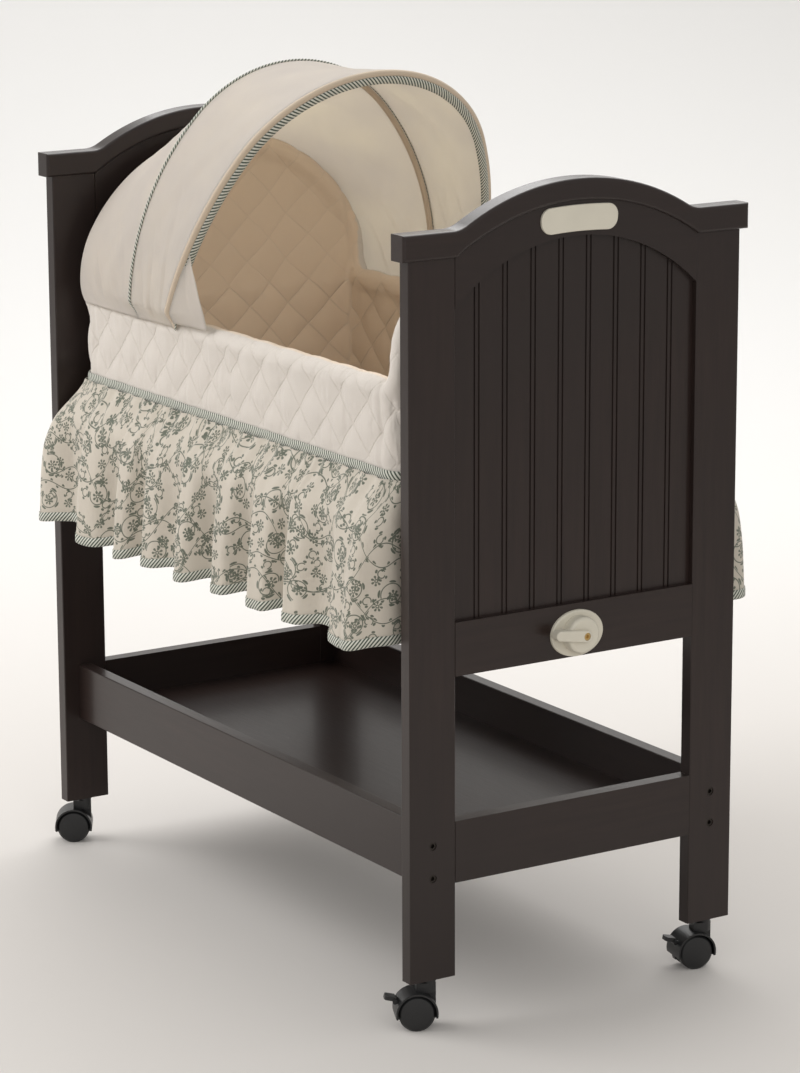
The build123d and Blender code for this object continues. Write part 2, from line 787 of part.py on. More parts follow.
def outline_point(share):
    """Point and outward direction on the basket's outer outline, by share of its length."""
    straight_x = wall_x - basket_corner
    straight_y = wall_y - basket_corner
    quarter = math.pi / 2 * basket_corner
    runs = [straight_y, quarter, 2 * straight_x, quarter, 2 * straight_y]
    runs += [quarter, 2 * straight_x, quarter, straight_y]
    along = share * sum(runs)
    angle = 0.0
    x, y = wall_x, 0.0
    for index, run in enumerate(runs):
        step = min(along, run)
        if index % 2 == 0:
            x -= math.sin(angle) * step
            y += math.cos(angle) * step
        else:
            centre_x = x - basket_corner * math.cos(angle)
            centre_y = y - basket_corner * math.sin(angle)
            turned = angle + step / basket_corner
            x = centre_x + basket_corner * math.cos(turned)
            y = centre_y + basket_corner * math.sin(turned)
            angle = turned
        along -= step
        if along <= 0:
            break
    return x, y, math.cos(angle), math.sin(angle)


def folded_ring(z, out_end, out_side, deep_end, deep_side, inset):
    """Closed line round the basket at height z, of one arc for each side of each fold.

    A point lies out_end or out_side past the wall, by its direction, and the arcs' middles
    swing out and in by deep_end or deep_side. inset draws the line in by the cloth.
    """
    count = 2 * fold_count

    def at(step, swing):
        x, y, along_x, along_y = outline_point((step % count) / count)
        reach_x = out_end + swing * deep_end - inset
        reach_y = out_side + swing * deep_side - inset
        return (x + along_x * reach_x, y + along_y * reach_y, z)

    arcs = []
    for step in range(count):
        swing = 1 if step % 2 == 0 else -1
        arcs.append(ThreePointArc(at(step, 0), at(step + 0.5, swing), at(step + 1, 0)))
    return Face(Wire(arcs))


def skirt():
    """Gathered skirt: tight gathers at the binding that swell and hang in deep folds."""
    top = binding_z - soft_gap
    snug = gather_depth + 3 * soft_gap + cloth
    puff_z = top - skirt_puff_drop
    levels = [
        (top, snug, snug, gather_depth, gather_depth),
        (puff_z, skirt_puff_end, skirt_puff_side, fold_depth_end / 2, fold_depth_side / 2),
        (skirt_hem_z, skirt_flare_end, skirt_flare_side, fold_depth_end, fold_depth_side),
    ]
    outer = loft([folded_ring(*level, 0) for level in levels], ruled=True)
    inner = loft([folded_ring(*level, cloth) for level in levels], ruled=True)
    return outer - inner


def skirt_binding():
    inner = plan(wall_x + soft_gap, wall_y + soft_gap, basket_corner + soft_gap, binding_z)
    reach = soft_gap + cloth
    outer = plan(wall_x + reach, wall_y + reach, basket_corner + reach, binding_z)
    return extrude(outer - inner, binding_height)


def hoop(x, tilt, arch):
    """Wire hoop whose feet turn inwards as pins along its axis, through the clips."""
    half_span, height, side_radius, bend = arch
    plane = hoop_plane(x, tilt)
    half = math.sqrt(0.5) * bend
    corner = half_span - bend
    pin = rim_y - clip_width / 2

    def at(u, v):
        return plane.from_local_coords(Vector(u, v, 0))

    line = [
        Line(at(pin, 0), at(corner, 0)),
        ThreePointArc(at(corner, 0), at(corner + half, bend - half), at(half_span, bend)),
    ]
    line += arch_edges(plane, half_span, height - bend, side_radius, bend)
    line += [
        ThreePointArc(at(-half_span, bend), at(-corner - half, bend - half), at(-corner, 0)),
        Line(at(-corner, 0), at(-pin, 0)),
    ]
    start = Plane(origin=at(pin, 0), z_dir=(0, 1, 0))
    return sweep(start * Circle(hoop_radius), path=Wire(line))


def canopy_clip(x, sign, grow=0.0):
    """Block on the rim that holds the foot of a hoop."""
    half = clip_length / 2 + grow
    y_high = rim_y + clip_width / 2 + grow
    y_low = rim_y - clip_width / 2 - grow
    z_high = hoop_axis_z + clip_height / 2 + grow
    z_low = hoop_axis_z - clip_height / 2 - grow
    solid = block(x - half, x + half, y_low, y_high, z_low, z_high)
    if grow == 0:
        solid = fillet(solid.edges().filter_by(Axis.Y), clip_height / 5)
        solid -= rod_y(hoop_radius + turning_clearance, x, y_low, y_high, hoop_axis_z)
    return solid if sign > 0 else mirror(solid, Plane.XZ)


def canopy_section(plane, arch, reach):
    """Closed arch-shaped face: an arch's line moved out by reach, with upright lower edges."""
    half_span, height, side_radius, foot = arch
    span = half_span + reach
    curve = arch_edges(plane, span, height + reach - foot, side_radius + reach, foot)

    def at(u, v):
        return plane.from_local_coords(Vector(u, v, 0))

    low = -canopy_hem_drop
    sides = [
        Line(at(-span, foot), at(-span, low)),
        Line(at(-span, low), at(span, low)),
        Line(at(span, low), at(span, foot)),
    ]
    return Face(Wire(curve + sides))


def gore(first, second):
    """Sheet between two arches, each given as its plane and its arch."""
    skins = []
    for reach in (canopy_reach + cloth, canopy_reach):
        faces = [canopy_section(plane, arch, reach) for plane, arch in (first, second)]
        skins.append(loft(faces, ruled=True))
    return skins[0] - skins[1]


def canopy_rear():
    head = hoop_plane(-rim_x - canopy_head_lap, 0)
    middle = hoop_plane(middle_hoop_x, middle_hoop_tilt, -soft_gap)
    return gore((head, head_arch), (middle, middle_arch))


def canopy_front():
    middle = hoop_plane(middle_hoop_x, middle_hoop_tilt, soft_gap)
    front = hoop_plane(front_hoop_x, front_hoop_tilt)
    return gore((middle, middle_arch), (front, front_arch))


# Casters, drawn with the stem at the origin and the wheels trailing towards +X
stem_x = outer_x - board / 2
hood_top = post_bottom - socket_flange - soft_gap
hood_inner = wheel_radius + hood_gap
hood_outer = hood_inner + hood_thickness
pair_half = wheel_gap / 2 + wheel_width
brake_x = caster_trail + hood_outer
brake_z = wheel_radius + hood_outer * brake_rise_share


def caster_wheel(sign):
    """Wheel with a rounded tread and a domed outer face that closes over the axle's end."""
    inner_y = wheel_gap / 2
    outer_y = inner_y + wheel_width
    cap_y = outer_y - wheel_cap
    hub = axle_radius + turning_clearance
    edge = (wheel_radius - wheel_shoulder, outer_y - wheel_dome)
    dome = (edge[0] * dome_share, outer_y - wheel_dome * dome_drop_share)
    outline = [
        Line((hub, inner_y), (wheel_radius - wheel_shoulder, inner_y)),
        Line((wheel_radius - wheel_shoulder, inner_y), (wheel_radius, inner_y + wheel_shoulder)),
        Line((wheel_radius, inner_y + wheel_shoulder), (wheel_radius, edge[1] - wheel_shoulder)),
        Line((wheel_radius, edge[1] - wheel_shoulder), edge),
        ThreePointArc(edge, dome, (wheel_flat, outer_y)),
        Line((wheel_flat, outer_y), (0, outer_y)),
        Line((0, outer_y), (0, cap_y)),
        Line((0, cap_y), (hub, cap_y)),
        Line((hub, cap_y), (hub, inner_y)),
    ]
    wheel = Pos(caster_trail, 0, wheel_radius) * revolve(make_face(outline), Axis.Y)
    return wheel if sign > 0 else mirror(wheel, Plane.XZ)


def caster_hood(braked):
    """Web between the wheels, fender over them and boss round the stem."""
    web_half = wheel_gap / 2 - hood_gap / 2
    centre = Plane(origin=(caster_trail, web_half, wheel_radius), z_dir=(0, -1, 0))
    web = extrude(centre * Circle(hood_outer), 2 * web_half)
    web -= block(-far, far, -far, far, -far, web_low)
    side = Plane(origin=(caster_trail, pair_half, wheel_radius), z_dir=(0, -1, 0))
    ring = extrude(side * (Circle(hood_outer) - Circle(hood_inner)), 2 * pair_half)
    ring -= block(-far, far, -far, far, -far, hood_low)
    solid = web + ring
    boss_low = wheel_radius + hood_inner
    boss = caster_boss_radius
    neck_top = hood_top - boss_step
    solid += rod_z(boss, 0, 0, boss_low, hood_top)
    solid += block(-boss, caster_trail, -web_half, web_half, wheel_radius, neck_top)
    solid += block(0, caster_trail, -boss, boss, boss_low, neck_top)
    bore_low = hood_top - stem_depth - stem_room
    solid -= rod_z(stem_radius + turning_clearance, 0, 0, bore_low, hood_top)
    solid -= rod_y(axle_radius, caster_trail, -web_half, web_half, wheel_radius)
    if braked:
        ear_half = brake_width / 2 + brake_ear
        root_x = brake_x - hood_thickness - brake_root
        low = brake_z - brake_ear_height / 2
        y_low = brake_width / 2 + soft_gap
        ear = rod_y(brake_barrel, brake_x, y_low, ear_half, brake_z)
        ear += block(root_x, brake_x, y_low, ear_half, low, low + brake_ear_height)
        solid += ear
        solid += mirror(ear, Plane.XZ)
        solid += rod_y(brake_pin_radius, brake_x, -ear_half, ear_half, brake_z)
    return solid


def brake_lever():
    """Foot tab on a barrel round the hood's pin."""
    half = brake_width / 2
    solid = rod_y(brake_barrel, brake_x, -half, half, brake_z)
    tab = block(0, brake_length, -half, half, 0, brake_thickness)
    tab = fillet(tab.edges().filter_by(Axis.Z).sort_by(Axis.X)[-2:], brake_width / 4)
    solid += Pos(brake_x, 0, brake_z) * Rot(0, -brake_lift, 0) * tab
    return solid - rod_y(brake_pin_radius + turning_clearance, brake_x, -half, half, brake_z)


def caster_axle():
    half = pair_half - wheel_cap - soft_gap
    return rod_y(axle_radius, caster_trail, -half, half, wheel_radius)


def caster_socket():
    """Flanged sleeve in the post's lower end."""
    flange_low = post_bottom - socket_flange
    solid = rod_z(socket_flange_radius, 0, 0, flange_low, post_bottom)
    solid += rod_z(socket_radius, 0, 0, post_bottom, post_bottom + stem_length)
    bore_top = post_bottom + stem_length
    return solid - rod_z(stem_radius + hole_clearance / 2, 0, 0, flange_low, bore_top)


def caster_stem():
    """Steel stem with a friction ring near its top; the hood turns on its lower end."""
    low = hood_top - stem_depth
    high = post_bottom + stem_length - stem_top_room
    return rod_z(stem_radius, 0, 0, low, high)


def placed(piece, corner):
    """A caster's piece turned to trail its own way and set under its post."""
    name, sign_x, sign_y = corner
    spot = Pos(sign_x * stem_x, sign_y * post_y, 0)
    return spot * Rot(0, 0, caster_trail_angle[name]) * piece


def build_frame():
    groove = panel_solid(panel_tongue + groove_clearance, groove_clearance)
    left_post = post(groove)
    right_post = mirror(left_post, Plane.XZ)
    pieces["post_foot_left"], pieces["post_head_left"] = both_ends(left_post)
    pieces["post_foot_right"], pieces["post_head_right"] = both_ends(right_post)
    pivot_hole = rod_x(pivot_pin_radius, inner_x, inner_x + pivot_spigot, 0, pivot_z)
    rails = {
        "crest_rail": crest_rail(),
        "arch_rail": arch_rail() - groove - pivot_hole,
        "bead_panel": bead_panel(),
        "lower_rail": block(inner_x, outer_x, -opening_half, opening_half, tray_bottom, tray_top),
    }
    for name, piece in rails.items():
        pieces[name + "_foot"], pieces[name + "_head"] = both_ends(piece)
    rail_foot, pieces["middle_rail_head"] = both_ends(middle_rail(groove))
    lock_bore = rod_x(sleeve_radius + hole_clearance / 2, inner_x, outer_x, 0, lock_z)
    pieces["middle_rail_foot"] = rail_foot - lock_bore
    pieces["side_board_left"] = side_board()
    pieces["side_board_right"] = mirror(pieces["side_board_left"], Plane.XZ)
    pieces["shelf_panel"] = shelf()
    bolts = []
    nuts = []
    for name, sign_x, sign_y in side_names():
        for z in bolt_heights:
            bolts.append(frame_bolt(sign_x, sign_y * post_y, z))
            nuts.append(barrel_nut(sign_x * (inner_x - nut_setback), sign_y, z))
    pieces["frame_bolts"] = bolts
    pieces["barrel_nuts"] = nuts
    pieces["name_plate"] = name_plate()
    pieces["pivot_brackets"] = list(both_ends(pivot_bracket()))


def build_lock():
    pieces["lock_rose"] = lock_rose()
    pieces["lock_flange"] = lock_flange()
    pieces["lock_spindle"] = lock_spindle()
    pieces["lock_knob"] = lock_knob()
    pieces["lock_screw"] = lock_screw()
    pieces["lock_latch"] = lock_latch()
    pieces["lock_keeper"] = keeper()


def build_basket():
    pieces["rim_tube"] = rim_bar(rim_tube_radius)
    pieces["hangers"] = list(both_ends(hanger()))
    pieces["basket_shell"] = basket_shell()
    pieces["base_board"] = base_board()
    pieces["mattress"] = mattress()
    pieces["skirt"] = skirt()
    pieces["skirt_binding"] = skirt_binding()


def build_canopy():
    clips = []
    for x in (middle_hoop_x, front_hoop_x):
        for sign in (-1, 1):
            clips.append(canopy_clip(x, sign))
    pieces["canopy_clips"] = clips
    pieces["middle_hoop"] = hoop(middle_hoop_x, middle_hoop_tilt, middle_arch)
    pieces["front_hoop"] = hoop(front_hoop_x, front_hoop_tilt, front_arch)
    pieces["canopy_rear"] = canopy_rear()
    pieces["canopy_front"] = canopy_front()


def build_casters():
    sockets = []
    stems = []
    for corner in side_names():
        name = corner[0]
        braked = name.startswith("foot")
        sockets.append(placed(caster_socket(), corner))
        stems.append(placed(caster_stem(), corner))
        pieces["caster_hood_" + name] = placed(caster_hood(braked), corner)
        pieces["caster_axle_" + name] = placed(caster_axle(), corner)
        pieces["wheel_a_" + name] = placed(caster_wheel(1), corner)
        pieces["wheel_b_" + name] = placed(caster_wheel(-1), corner)
        if braked:
            pieces["brake_lever_" + name] = placed(brake_lever(), corner)
    pieces["caster_sockets"] = sockets
    pieces["caster_stems"] = stems


def write_pieces():
    """Moves everything so that the origin is the middle of the whole box, and writes it.

    A node of several solids, such as the bolts, is a list of them.
    """
    os.makedirs("parts", exist_ok=True)
    groups = {}
    for name, piece in pieces.items():
        groups[name] = piece if isinstance(piece, list) else [piece]
    boxes = [solid.bounding_box() for solids in groups.values() for solid in solids]
    x_low = min(box.min.X for box in boxes)
    x_high = max(box.max.X for box in boxes)
    shift = -(x_low + x_high) / 2
    print("shift along X", round(shift, 3))
    print("width", round(max(box.max.Y for box in boxes) - min(box.min.Y for box in boxes), 2))
    for name, solids in groups.items():
        moved = [Pos(shift, 0, 0) * solid for group in solids for solid in group.solids()]
        whole = moved[0] if len(moved) == 1 else Compound(moved)
        export_step(whole, "parts/" + name + ".step")


build_frame()
build_lock()
build_basket()
build_canopy()
build_casters()
write_pieces()
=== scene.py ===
import json
import math
import bpy
import numpy as np
import openvdb
from mathutils import Matrix, Vector


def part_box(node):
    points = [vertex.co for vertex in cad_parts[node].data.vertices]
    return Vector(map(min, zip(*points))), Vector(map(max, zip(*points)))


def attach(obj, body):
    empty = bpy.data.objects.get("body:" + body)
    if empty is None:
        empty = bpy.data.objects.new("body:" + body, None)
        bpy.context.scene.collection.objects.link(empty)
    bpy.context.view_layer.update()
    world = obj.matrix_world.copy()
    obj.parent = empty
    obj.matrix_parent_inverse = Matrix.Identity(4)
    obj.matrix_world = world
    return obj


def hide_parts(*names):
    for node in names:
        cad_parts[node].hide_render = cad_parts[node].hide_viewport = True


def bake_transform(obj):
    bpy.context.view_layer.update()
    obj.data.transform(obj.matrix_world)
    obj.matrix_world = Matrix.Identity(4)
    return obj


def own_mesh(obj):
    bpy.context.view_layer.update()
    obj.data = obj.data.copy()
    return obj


# Rocking bassinet: espresso wood frame, ivory quilted basket with a printed skirt, and a
# canopy of two gores on wire hoops. Lengths are in metres, in the frame of the CAD part.
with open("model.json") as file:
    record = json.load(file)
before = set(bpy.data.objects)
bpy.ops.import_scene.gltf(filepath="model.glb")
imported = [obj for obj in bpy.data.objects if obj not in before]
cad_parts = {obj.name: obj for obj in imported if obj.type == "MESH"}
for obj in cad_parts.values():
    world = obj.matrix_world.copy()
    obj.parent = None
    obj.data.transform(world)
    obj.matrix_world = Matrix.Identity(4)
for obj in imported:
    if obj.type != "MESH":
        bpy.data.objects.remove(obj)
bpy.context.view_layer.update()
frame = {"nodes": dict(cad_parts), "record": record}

# Measures of the frame that the soft goods hang on
shelf_low, shelf_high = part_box("shelf_panel")
tube_low, tube_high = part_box("rim_tube")
waist_low, waist_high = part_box("skirt_binding")
mattress_low, mattress_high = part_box("mattress")
CENTRE_X = (shelf_low[0] + shelf_high[0]) / 2
TUBE = 0.008                      # radius of the rim tube
RIM_X = tube_high[0] - CENTRE_X - TUBE
RIM_Y = tube_high[1] - TUBE
RIM_Z = tube_low[2] + TUBE
CROWN_Z = tube_high[2] - TUBE
RIM_BEND = 0.030                  # bend from the side rails into the arches
RIM_ARCH_SIDE = 0.120             # radius of the arches' side arcs
ROLL = 0.0155                     # radius of the padded roll round the tube
WALL_OUT = 0.0135                 # tube's middle to the walls' outside
WALL_IN = 0.009                   # tube's middle to the walls' inside
WALL_X = RIM_X + WALL_OUT
WALL_Y = RIM_Y + WALL_OUT
ROOM_X = RIM_X - WALL_IN
ROOM_Y = RIM_Y - WALL_IN
CORNER = 0.030
FLOOR_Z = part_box("basket_shell")[0][2]
WAIST_Z = waist_low[2]
WAIST_TOP = waist_high[2]

# Arches of the canopy: place of the foot along X, lean in degrees, half width, height along
# the lean, radius of the side arcs, and how far above the foot those arcs start
HOOP_Z = 0.780
MIDDLE_HOOP = {"x": CENTRE_X - 0.223, "lean": 5.4, "half": 0.227, "height": 0.2975,
               "side": 0.3427, "foot": 0.006}
FRONT_HOOP = {"x": CENTRE_X - 0.126, "lean": 25.2, "half": 0.232, "height": 0.3355,
              "side": 0.4807, "foot": 0.006}
HEAD_ARCH = {"x": CENTRE_X - RIM_X, "lean": 0.0, "half": RIM_Y, "height": CROWN_Z - HOOP_Z,
             "side": RIM_ARCH_SIDE, "foot": RIM_Z + RIM_BEND - HOOP_Z}
HEM_DROP = 0.019                  # canopy's lower edge below the hoops' feet
CLOTH_OUT = 0.0055                # hoops' middle line to the cloth
ROLL_CLEAR = 0.0024               # cloth over the padded roll
WRAP_START = math.radians(-78)    # where the rear gore starts round the head roll, from its top

# Quilting
BAND_DIAMOND = (0.061, 0.064)     # width and height of a diamond on the outside
LINING_DIAMOND = (0.062, 0.062)
PUFF = 0.0050                     # depth of the quilting
VOXEL = 0.0045                    # grid of the padded basket's distance field

# Skirt
FOLDS = 26
SKIRT_TOP = WAIST_Z + 0.002
SKIRT_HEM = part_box("skirt")[0][2] + 0.001
CORNER_FLARE = (0.007, 0.026)     # how far the hem's corners stand out along X and Y

# The photograph's camera, in degrees, metres and its own pixels
VIEW_AZIMUTH = math.radians(57.671)
VIEW_ELEVATION = math.radians(13.107)
VIEW_ROLL = math.radians(-0.219)
VIEW_PLACE = (3.9890 + CENTRE_X, -2.4890, 1.5829)
FOCAL_PIXELS = 3754.0
PICTURE_HEIGHT = 1073.0
SENSOR = 36.0

# Backdrop: how far behind the part it rises, its bend, height and half width, and where the
# floor starts in front
WALL_AT = 4.4
WALL_BEND = 1.8
WALL_HEIGHT = 9.0
WALL_HALF = 7.0
FLOOR_START = -4.0


# Meshes

def piece(name, mesh, material, body, nodes=()):
    """Puts a mesh in the scene as a piece that rides on a body and stands for CAD nodes."""
    thing = bpy.data.objects.new(name, mesh)
    bpy.context.scene.collection.objects.link(thing)
    mesh.materials.append(material)
    mesh.polygons.foreach_set("use_smooth", np.ones(len(mesh.polygons), dtype=bool))
    if body:
        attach(thing, body)
    if nodes:
        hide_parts(*nodes)
    return thing


def grid_mesh(name, grid, along, across, closed=False, flip=False):
    """Mesh of the points grid[i, j], with a UV map of along[i] and across[j] in metres.

    A closed grid joins its last row to the first, and then along has one mark more than rows.
    """
    rows, columns = grid.shape[:2]
    steps = rows if closed else rows - 1
    i, j = np.meshgrid(np.arange(steps), np.arange(columns - 1), indexing="ij")
    i = i.ravel()
    j = j.ravel()
    after = (i + 1) % rows
    corners = [(i, j, i), (after, j, i + 1), (after, j + 1, i + 1), (i, j + 1, i)]
    if flip:
        corners = corners[::-1]
    faces = np.stack([row * columns + column for row, column, mark in corners], axis=1)
    mesh = bpy.data.meshes.new(name)
    mesh.from_pydata(grid.reshape(-1, 3).tolist(), [], faces.tolist())
    marks = [np.stack([along[mark], across[column]], axis=1) for row, column, mark in corners]
    layer = mesh.uv_layers.new(name="Cloth")
    layer.data.foreach_set("uv", np.stack(marks, axis=1).astype(np.float32).ravel())
    return mesh


def area_of(mesh):
    """Sum of the faces' areas."""
    areas = np.empty(len(mesh.polygons), dtype=np.float32)
    mesh.polygons.foreach_get("area", areas)
    return float(areas.sum())


def make_cloth(thing, thickness):
    """Gives a sheet its thickness, and measures its area.

    The area said is the cloth's own, and the width grows where the cloth has more area than
    those two make.
    """
    wall = thing.modifiers.new("Thickness", "SOLIDIFY")
    wall.thickness = thickness
    wall.offset = 0.0
    area = area_of(thing.data)


def steps_along(line):
    """Distance along a line of points, from its first point."""
    gaps = np.linalg.norm(np.diff(line, axis=0), axis=1)
    return np.concatenate([[0.0], np.cumsum(gaps)])


def unit(vectors):
    """Vectors scaled to length 1."""
    return vectors / np.linalg.norm(vectors, axis=-1)[..., None]


def smooth_step(low, high, value):
    """0 below low, 1 above high, and 3t^2 - 2t^3 between them."""
    t = np.clip((value - low) / (high - low), 0.0, 1.0)
    return t * t * (3.0 - 2.0 * t)


def waves(values, seed, count=5, longest=1.0):
    """Smooth irregular wave along values: sines of falling length and seeded phase, in -1..1."""
    dice = np.random.default_rng(seed)
    total = np.zeros_like(values)
    weight = 0.0
    for order in range(count):
        length = longest / (1.0 + order * (0.7 + 0.3 * dice.random()))
        share = 1.0 / (1.0 + 0.5 * order)
        total += share * np.sin(2 * np.pi * (values / length + dice.random()))
        weight += share
    return total / weight


# Outlines shared by several pieces

def arch_points(half_span, rise, side_radius, marks, straight=0.0):
    """Points (across, up) of a three-centred arch, at shares of its length from end to end.

    Each side is an arc of side_radius that stands upright at the foot, on a straight piece.
    The top is an arc tangent to both, of radius ((h - s)^2 + r^2 - s^2) / (2 (r - s)).
    """
    top_radius = (half_span - side_radius) ** 2 + rise ** 2 - side_radius ** 2
    top_radius /= 2 * (rise - side_radius)
    centre_up = rise - top_radius
    if side_radius < half_span:
        turn = math.atan2(-centre_up, half_span - side_radius)
    else:
        turn = math.atan2(centre_up, side_radius - half_span)
    side_length = side_radius * turn
    top_length = top_radius * (math.pi - 2 * turn)
    total = 2 * (straight + side_length) + top_length
    distance = np.asarray(marks) * total
    mirrored = np.minimum(distance, total - distance) - straight
    side_angle = np.clip(mirrored, 0.0, side_length) / side_radius
    top_angle = turn + np.maximum(mirrored - side_length, 0.0) / top_radius
    on_side = mirrored < side_length
    across_side = half_span - side_radius + side_radius * np.cos(side_angle)
    across = np.where(on_side, across_side, top_radius * np.cos(top_angle))
    up_side = side_radius * np.sin(side_angle) + np.minimum(mirrored, 0.0)
    up = np.where(on_side, up_side, centre_up + top_radius * np.sin(top_angle))
    return np.where(distance > total / 2, -across, across), up


def hoop_points(hoop, marks, out=0.0, forward=0.0, low=-HEM_DROP):
    """Points of an arch's line from low to low, moved out from it and forward of its plane."""
    lean = math.radians(hoop["lean"])
    foot = hoop["foot"]
    rise = hoop["height"] + out - foot
    across, up = arch_points(hoop["half"] + out, rise, hoop["side"] + out, marks, foot - low)
    up = up + foot
    x = hoop["x"] + up * math.sin(lean) + forward * math.cos(lean)
    z = HOOP_Z + up * math.cos(lean) - forward * math.sin(lean)
    return np.stack([x, across, z], axis=-1)


def girth_of(half_x, half_y, corner):
    """Length once round a rounded rectangle."""
    return 4 * (half_x + half_y - 2 * corner) + 2 * math.pi * corner


def outline_at(distance, half_x, half_y, corner):
    """Points and outward directions on a rounded rectangle, by distance from (half_x, 0).

    The straight runs and the quarter turns follow each other anticlockwise.
    """
    straight_x = half_x - corner
    straight_y = half_y - corner
    quarter = math.pi / 2 * corner
    runs = [straight_y, quarter, 2 * straight_x, quarter, 2 * straight_y, quarter, 2 * straight_x]
    runs += [quarter, straight_y]
    starts = np.concatenate([[0.0], np.cumsum(runs)])
    distance = np.mod(distance, starts[-1])
    run = np.clip(np.searchsorted(starts, distance, side="right") - 1, 0, len(runs) - 1)
    along = distance - starts[run]
    turned = (run // 2) * math.pi / 2
    bend = np.where(run % 2 == 1, along / corner, 0.0)
    angle = turned + bend
    corner_x = np.array([1, -1, -1, 1])[(run // 2) % 4] * straight_x
    corner_y = np.array([1, 1, -1, -1])[(run // 2) % 4] * straight_y
    round_x = corner_x + corner * np.cos(angle)
    round_y = corner_y + corner * np.sin(angle)
    side = (run // 2) % 4
    begin_x = np.array([half_x, straight_x, -half_x, -straight_x])[side]
    begin_y = np.array([-straight_y, half_y, straight_y, -half_y])[side]
    begin_y = np.where(run == 0, 0.0, begin_y)
    line_x = begin_x - along * np.sin(turned)
    line_y = begin_y + along * np.cos(turned)
    curved = run % 2 == 1
    x = np.where(curved, round_x, line_x)
    y = np.where(curved, round_y, line_y)
    return x, y, np.cos(angle), np.sin(angle)


# Shader building blocks

def plug(tree, value, socket):
    """Links a socket, or sets a number or a colour."""
    if isinstance(value, bpy.types.NodeSocket):
        tree.links.new(value, socket)
    else:
        socket.default_value = value


def add_node(tree, kind, inputs=None, **settings):
    """New shader node with its settings, and with its inputs given by name or number."""
    node = tree.nodes.new("ShaderNode" + kind)
    for name, value in settings.items():
        setattr(node, name, value)
    for socket, value in (inputs or {}).items():
        plug(tree, value, node.inputs[socket])
    return node


def new_material(name):
    """Empty material with a Principled shader: returns the material, its tree and the shader."""
    material = bpy.data.materials.new(name)
    material.use_nodes = True
    tree = material.node_tree
    tree.nodes.clear()
    shader = add_node(tree, "BsdfPrincipled")
    add_node(tree, "OutputMaterial", {"Surface": shader.outputs["BSDF"]})
    return material, tree, shader


def calc(tree, operation, *values):
    """One Math node."""
    return add_node(tree, "Math", dict(enumerate(values)), operation=operation).outputs[0]


def times(tree, first, second):
    """Product of two values."""
    return calc(tree, "MULTIPLY", first, second)


def less(tree, first, second):
    """First value less the second."""
    return calc(tree, "SUBTRACT", first, second)


def mix_colour(tree, share, first, second):
    """One colour mix."""
    return add_node(tree, "Mix", {0: share, 6: first, 7: second}, data_type="RGBA").outputs[2]


def ramp(tree, value, low, high):
    """0 below low and 1 above high, smoothly."""
    inputs = {"Value": value, "From Min": low, "From Max": high}
    return add_node(tree, "MapRange", inputs, interpolation_type="SMOOTHSTEP").outputs["Result"]


def noise(tree, vector, scale, detail=2.0, roughness=0.5):
    """Noise texture's value."""
    inputs = {"Vector": vector, "Scale": scale, "Detail": detail, "Roughness": roughness}
    return add_node(tree, "TexNoise", inputs).outputs["Fac"]


def parts_of(tree, vector):
    """The three parts of a vector."""
    return add_node(tree, "SeparateXYZ", {0: vector}).outputs


def uneven(tree, vector, colour, scale, detail=3.0, share=0.93):
    """A colour that drifts to a slightly darker one in soft clouds."""
    darker = tuple(share * part for part in colour[:3]) + (1,)
    return mix_colour(tree, noise(tree, vector, scale, detail), darker, colour)


def let_through(tree, shader, colour, share):
    """Mixes in light that comes through the cloth from behind."""
    glow = add_node(tree, "BsdfTranslucent", {"Color": colour})
    blend = add_node(tree, "MixShader", {0: share, 1: shader.outputs[0], 2: glow.outputs[0]})
    tree.links.new(blend.outputs[0], tree.nodes["Material Output"].inputs["Surface"])


def object_place(tree, scale=(1, 1, 1)):
    """Object coordinates, scaled."""
    place = add_node(tree, "TexCoord").outputs["Object"]
    return add_node(tree, "Mapping", {"Vector": place, "Scale": scale}).outputs["Vector"]


def cloth_place(tree):
    """The piece's own UV map, as a vector and its two parts."""
    place = add_node(tree, "UVMap", uv_map="Cloth").outputs["UV"]
    parts = parts_of(tree, place)
    return place, parts[0], parts[1]


def bump(tree, shader, height, distance, strength=1.0, under=None):
    """Bump from a height, over an earlier bump."""
    inputs = {"Strength": strength, "Distance": distance, "Height": height}
    if under:
        inputs["Normal"] = under
    normal = add_node(tree, "Bump", inputs).outputs["Normal"]
    tree.links.new(normal, shader.inputs["Normal"])
    return normal


def weave_height(tree, vector, pitch):
    """Plain weave: two crossing sets of threads, sin(x) sin(y) on a fine pitch."""
    turns = 2 * math.pi / pitch
    threads = [calc(tree, "SINE", times(tree, part, turns)) for part in parts_of(tree, vector)]
    first = times(tree, threads[0], threads[2])
    second = times(tree, threads[1], threads[2])
    return calc(tree, "ADD", first, second)


# Materials

IVORY = (0.68, 0.622, 0.56, 1)
# Painted shade: darker ivory laid into the quilting's stitch valleys
PAINTED_STITCH_SHADE = (0.56, 0.485, 0.40, 1)
# Painted warm light: warmer colour for the inside walls, standing in for the warm light that comes
# through the canopy
INSIDE_PAINTED_WARMTH = (0.76, 0.62, 0.475, 1)
CANOPY = (0.79, 0.75, 0.72, 1)
THROUGH = (0.98, 0.93, 0.79, 1)
# Painted shade: the middle hoop's casing and the front facing get a darker brown than the canopy
# cloth, for the shade they lie in
CASING_PAINTED_SHADE = (0.60, 0.49, 0.37, 1)
SAGE = (0.050, 0.066, 0.046, 1)
SAGE_PALE = (0.64, 0.64, 0.56, 1)
PRINT_GROUND = (0.68, 0.615, 0.52, 1)
PRINT_INK = (0.105, 0.128, 0.092, 1)


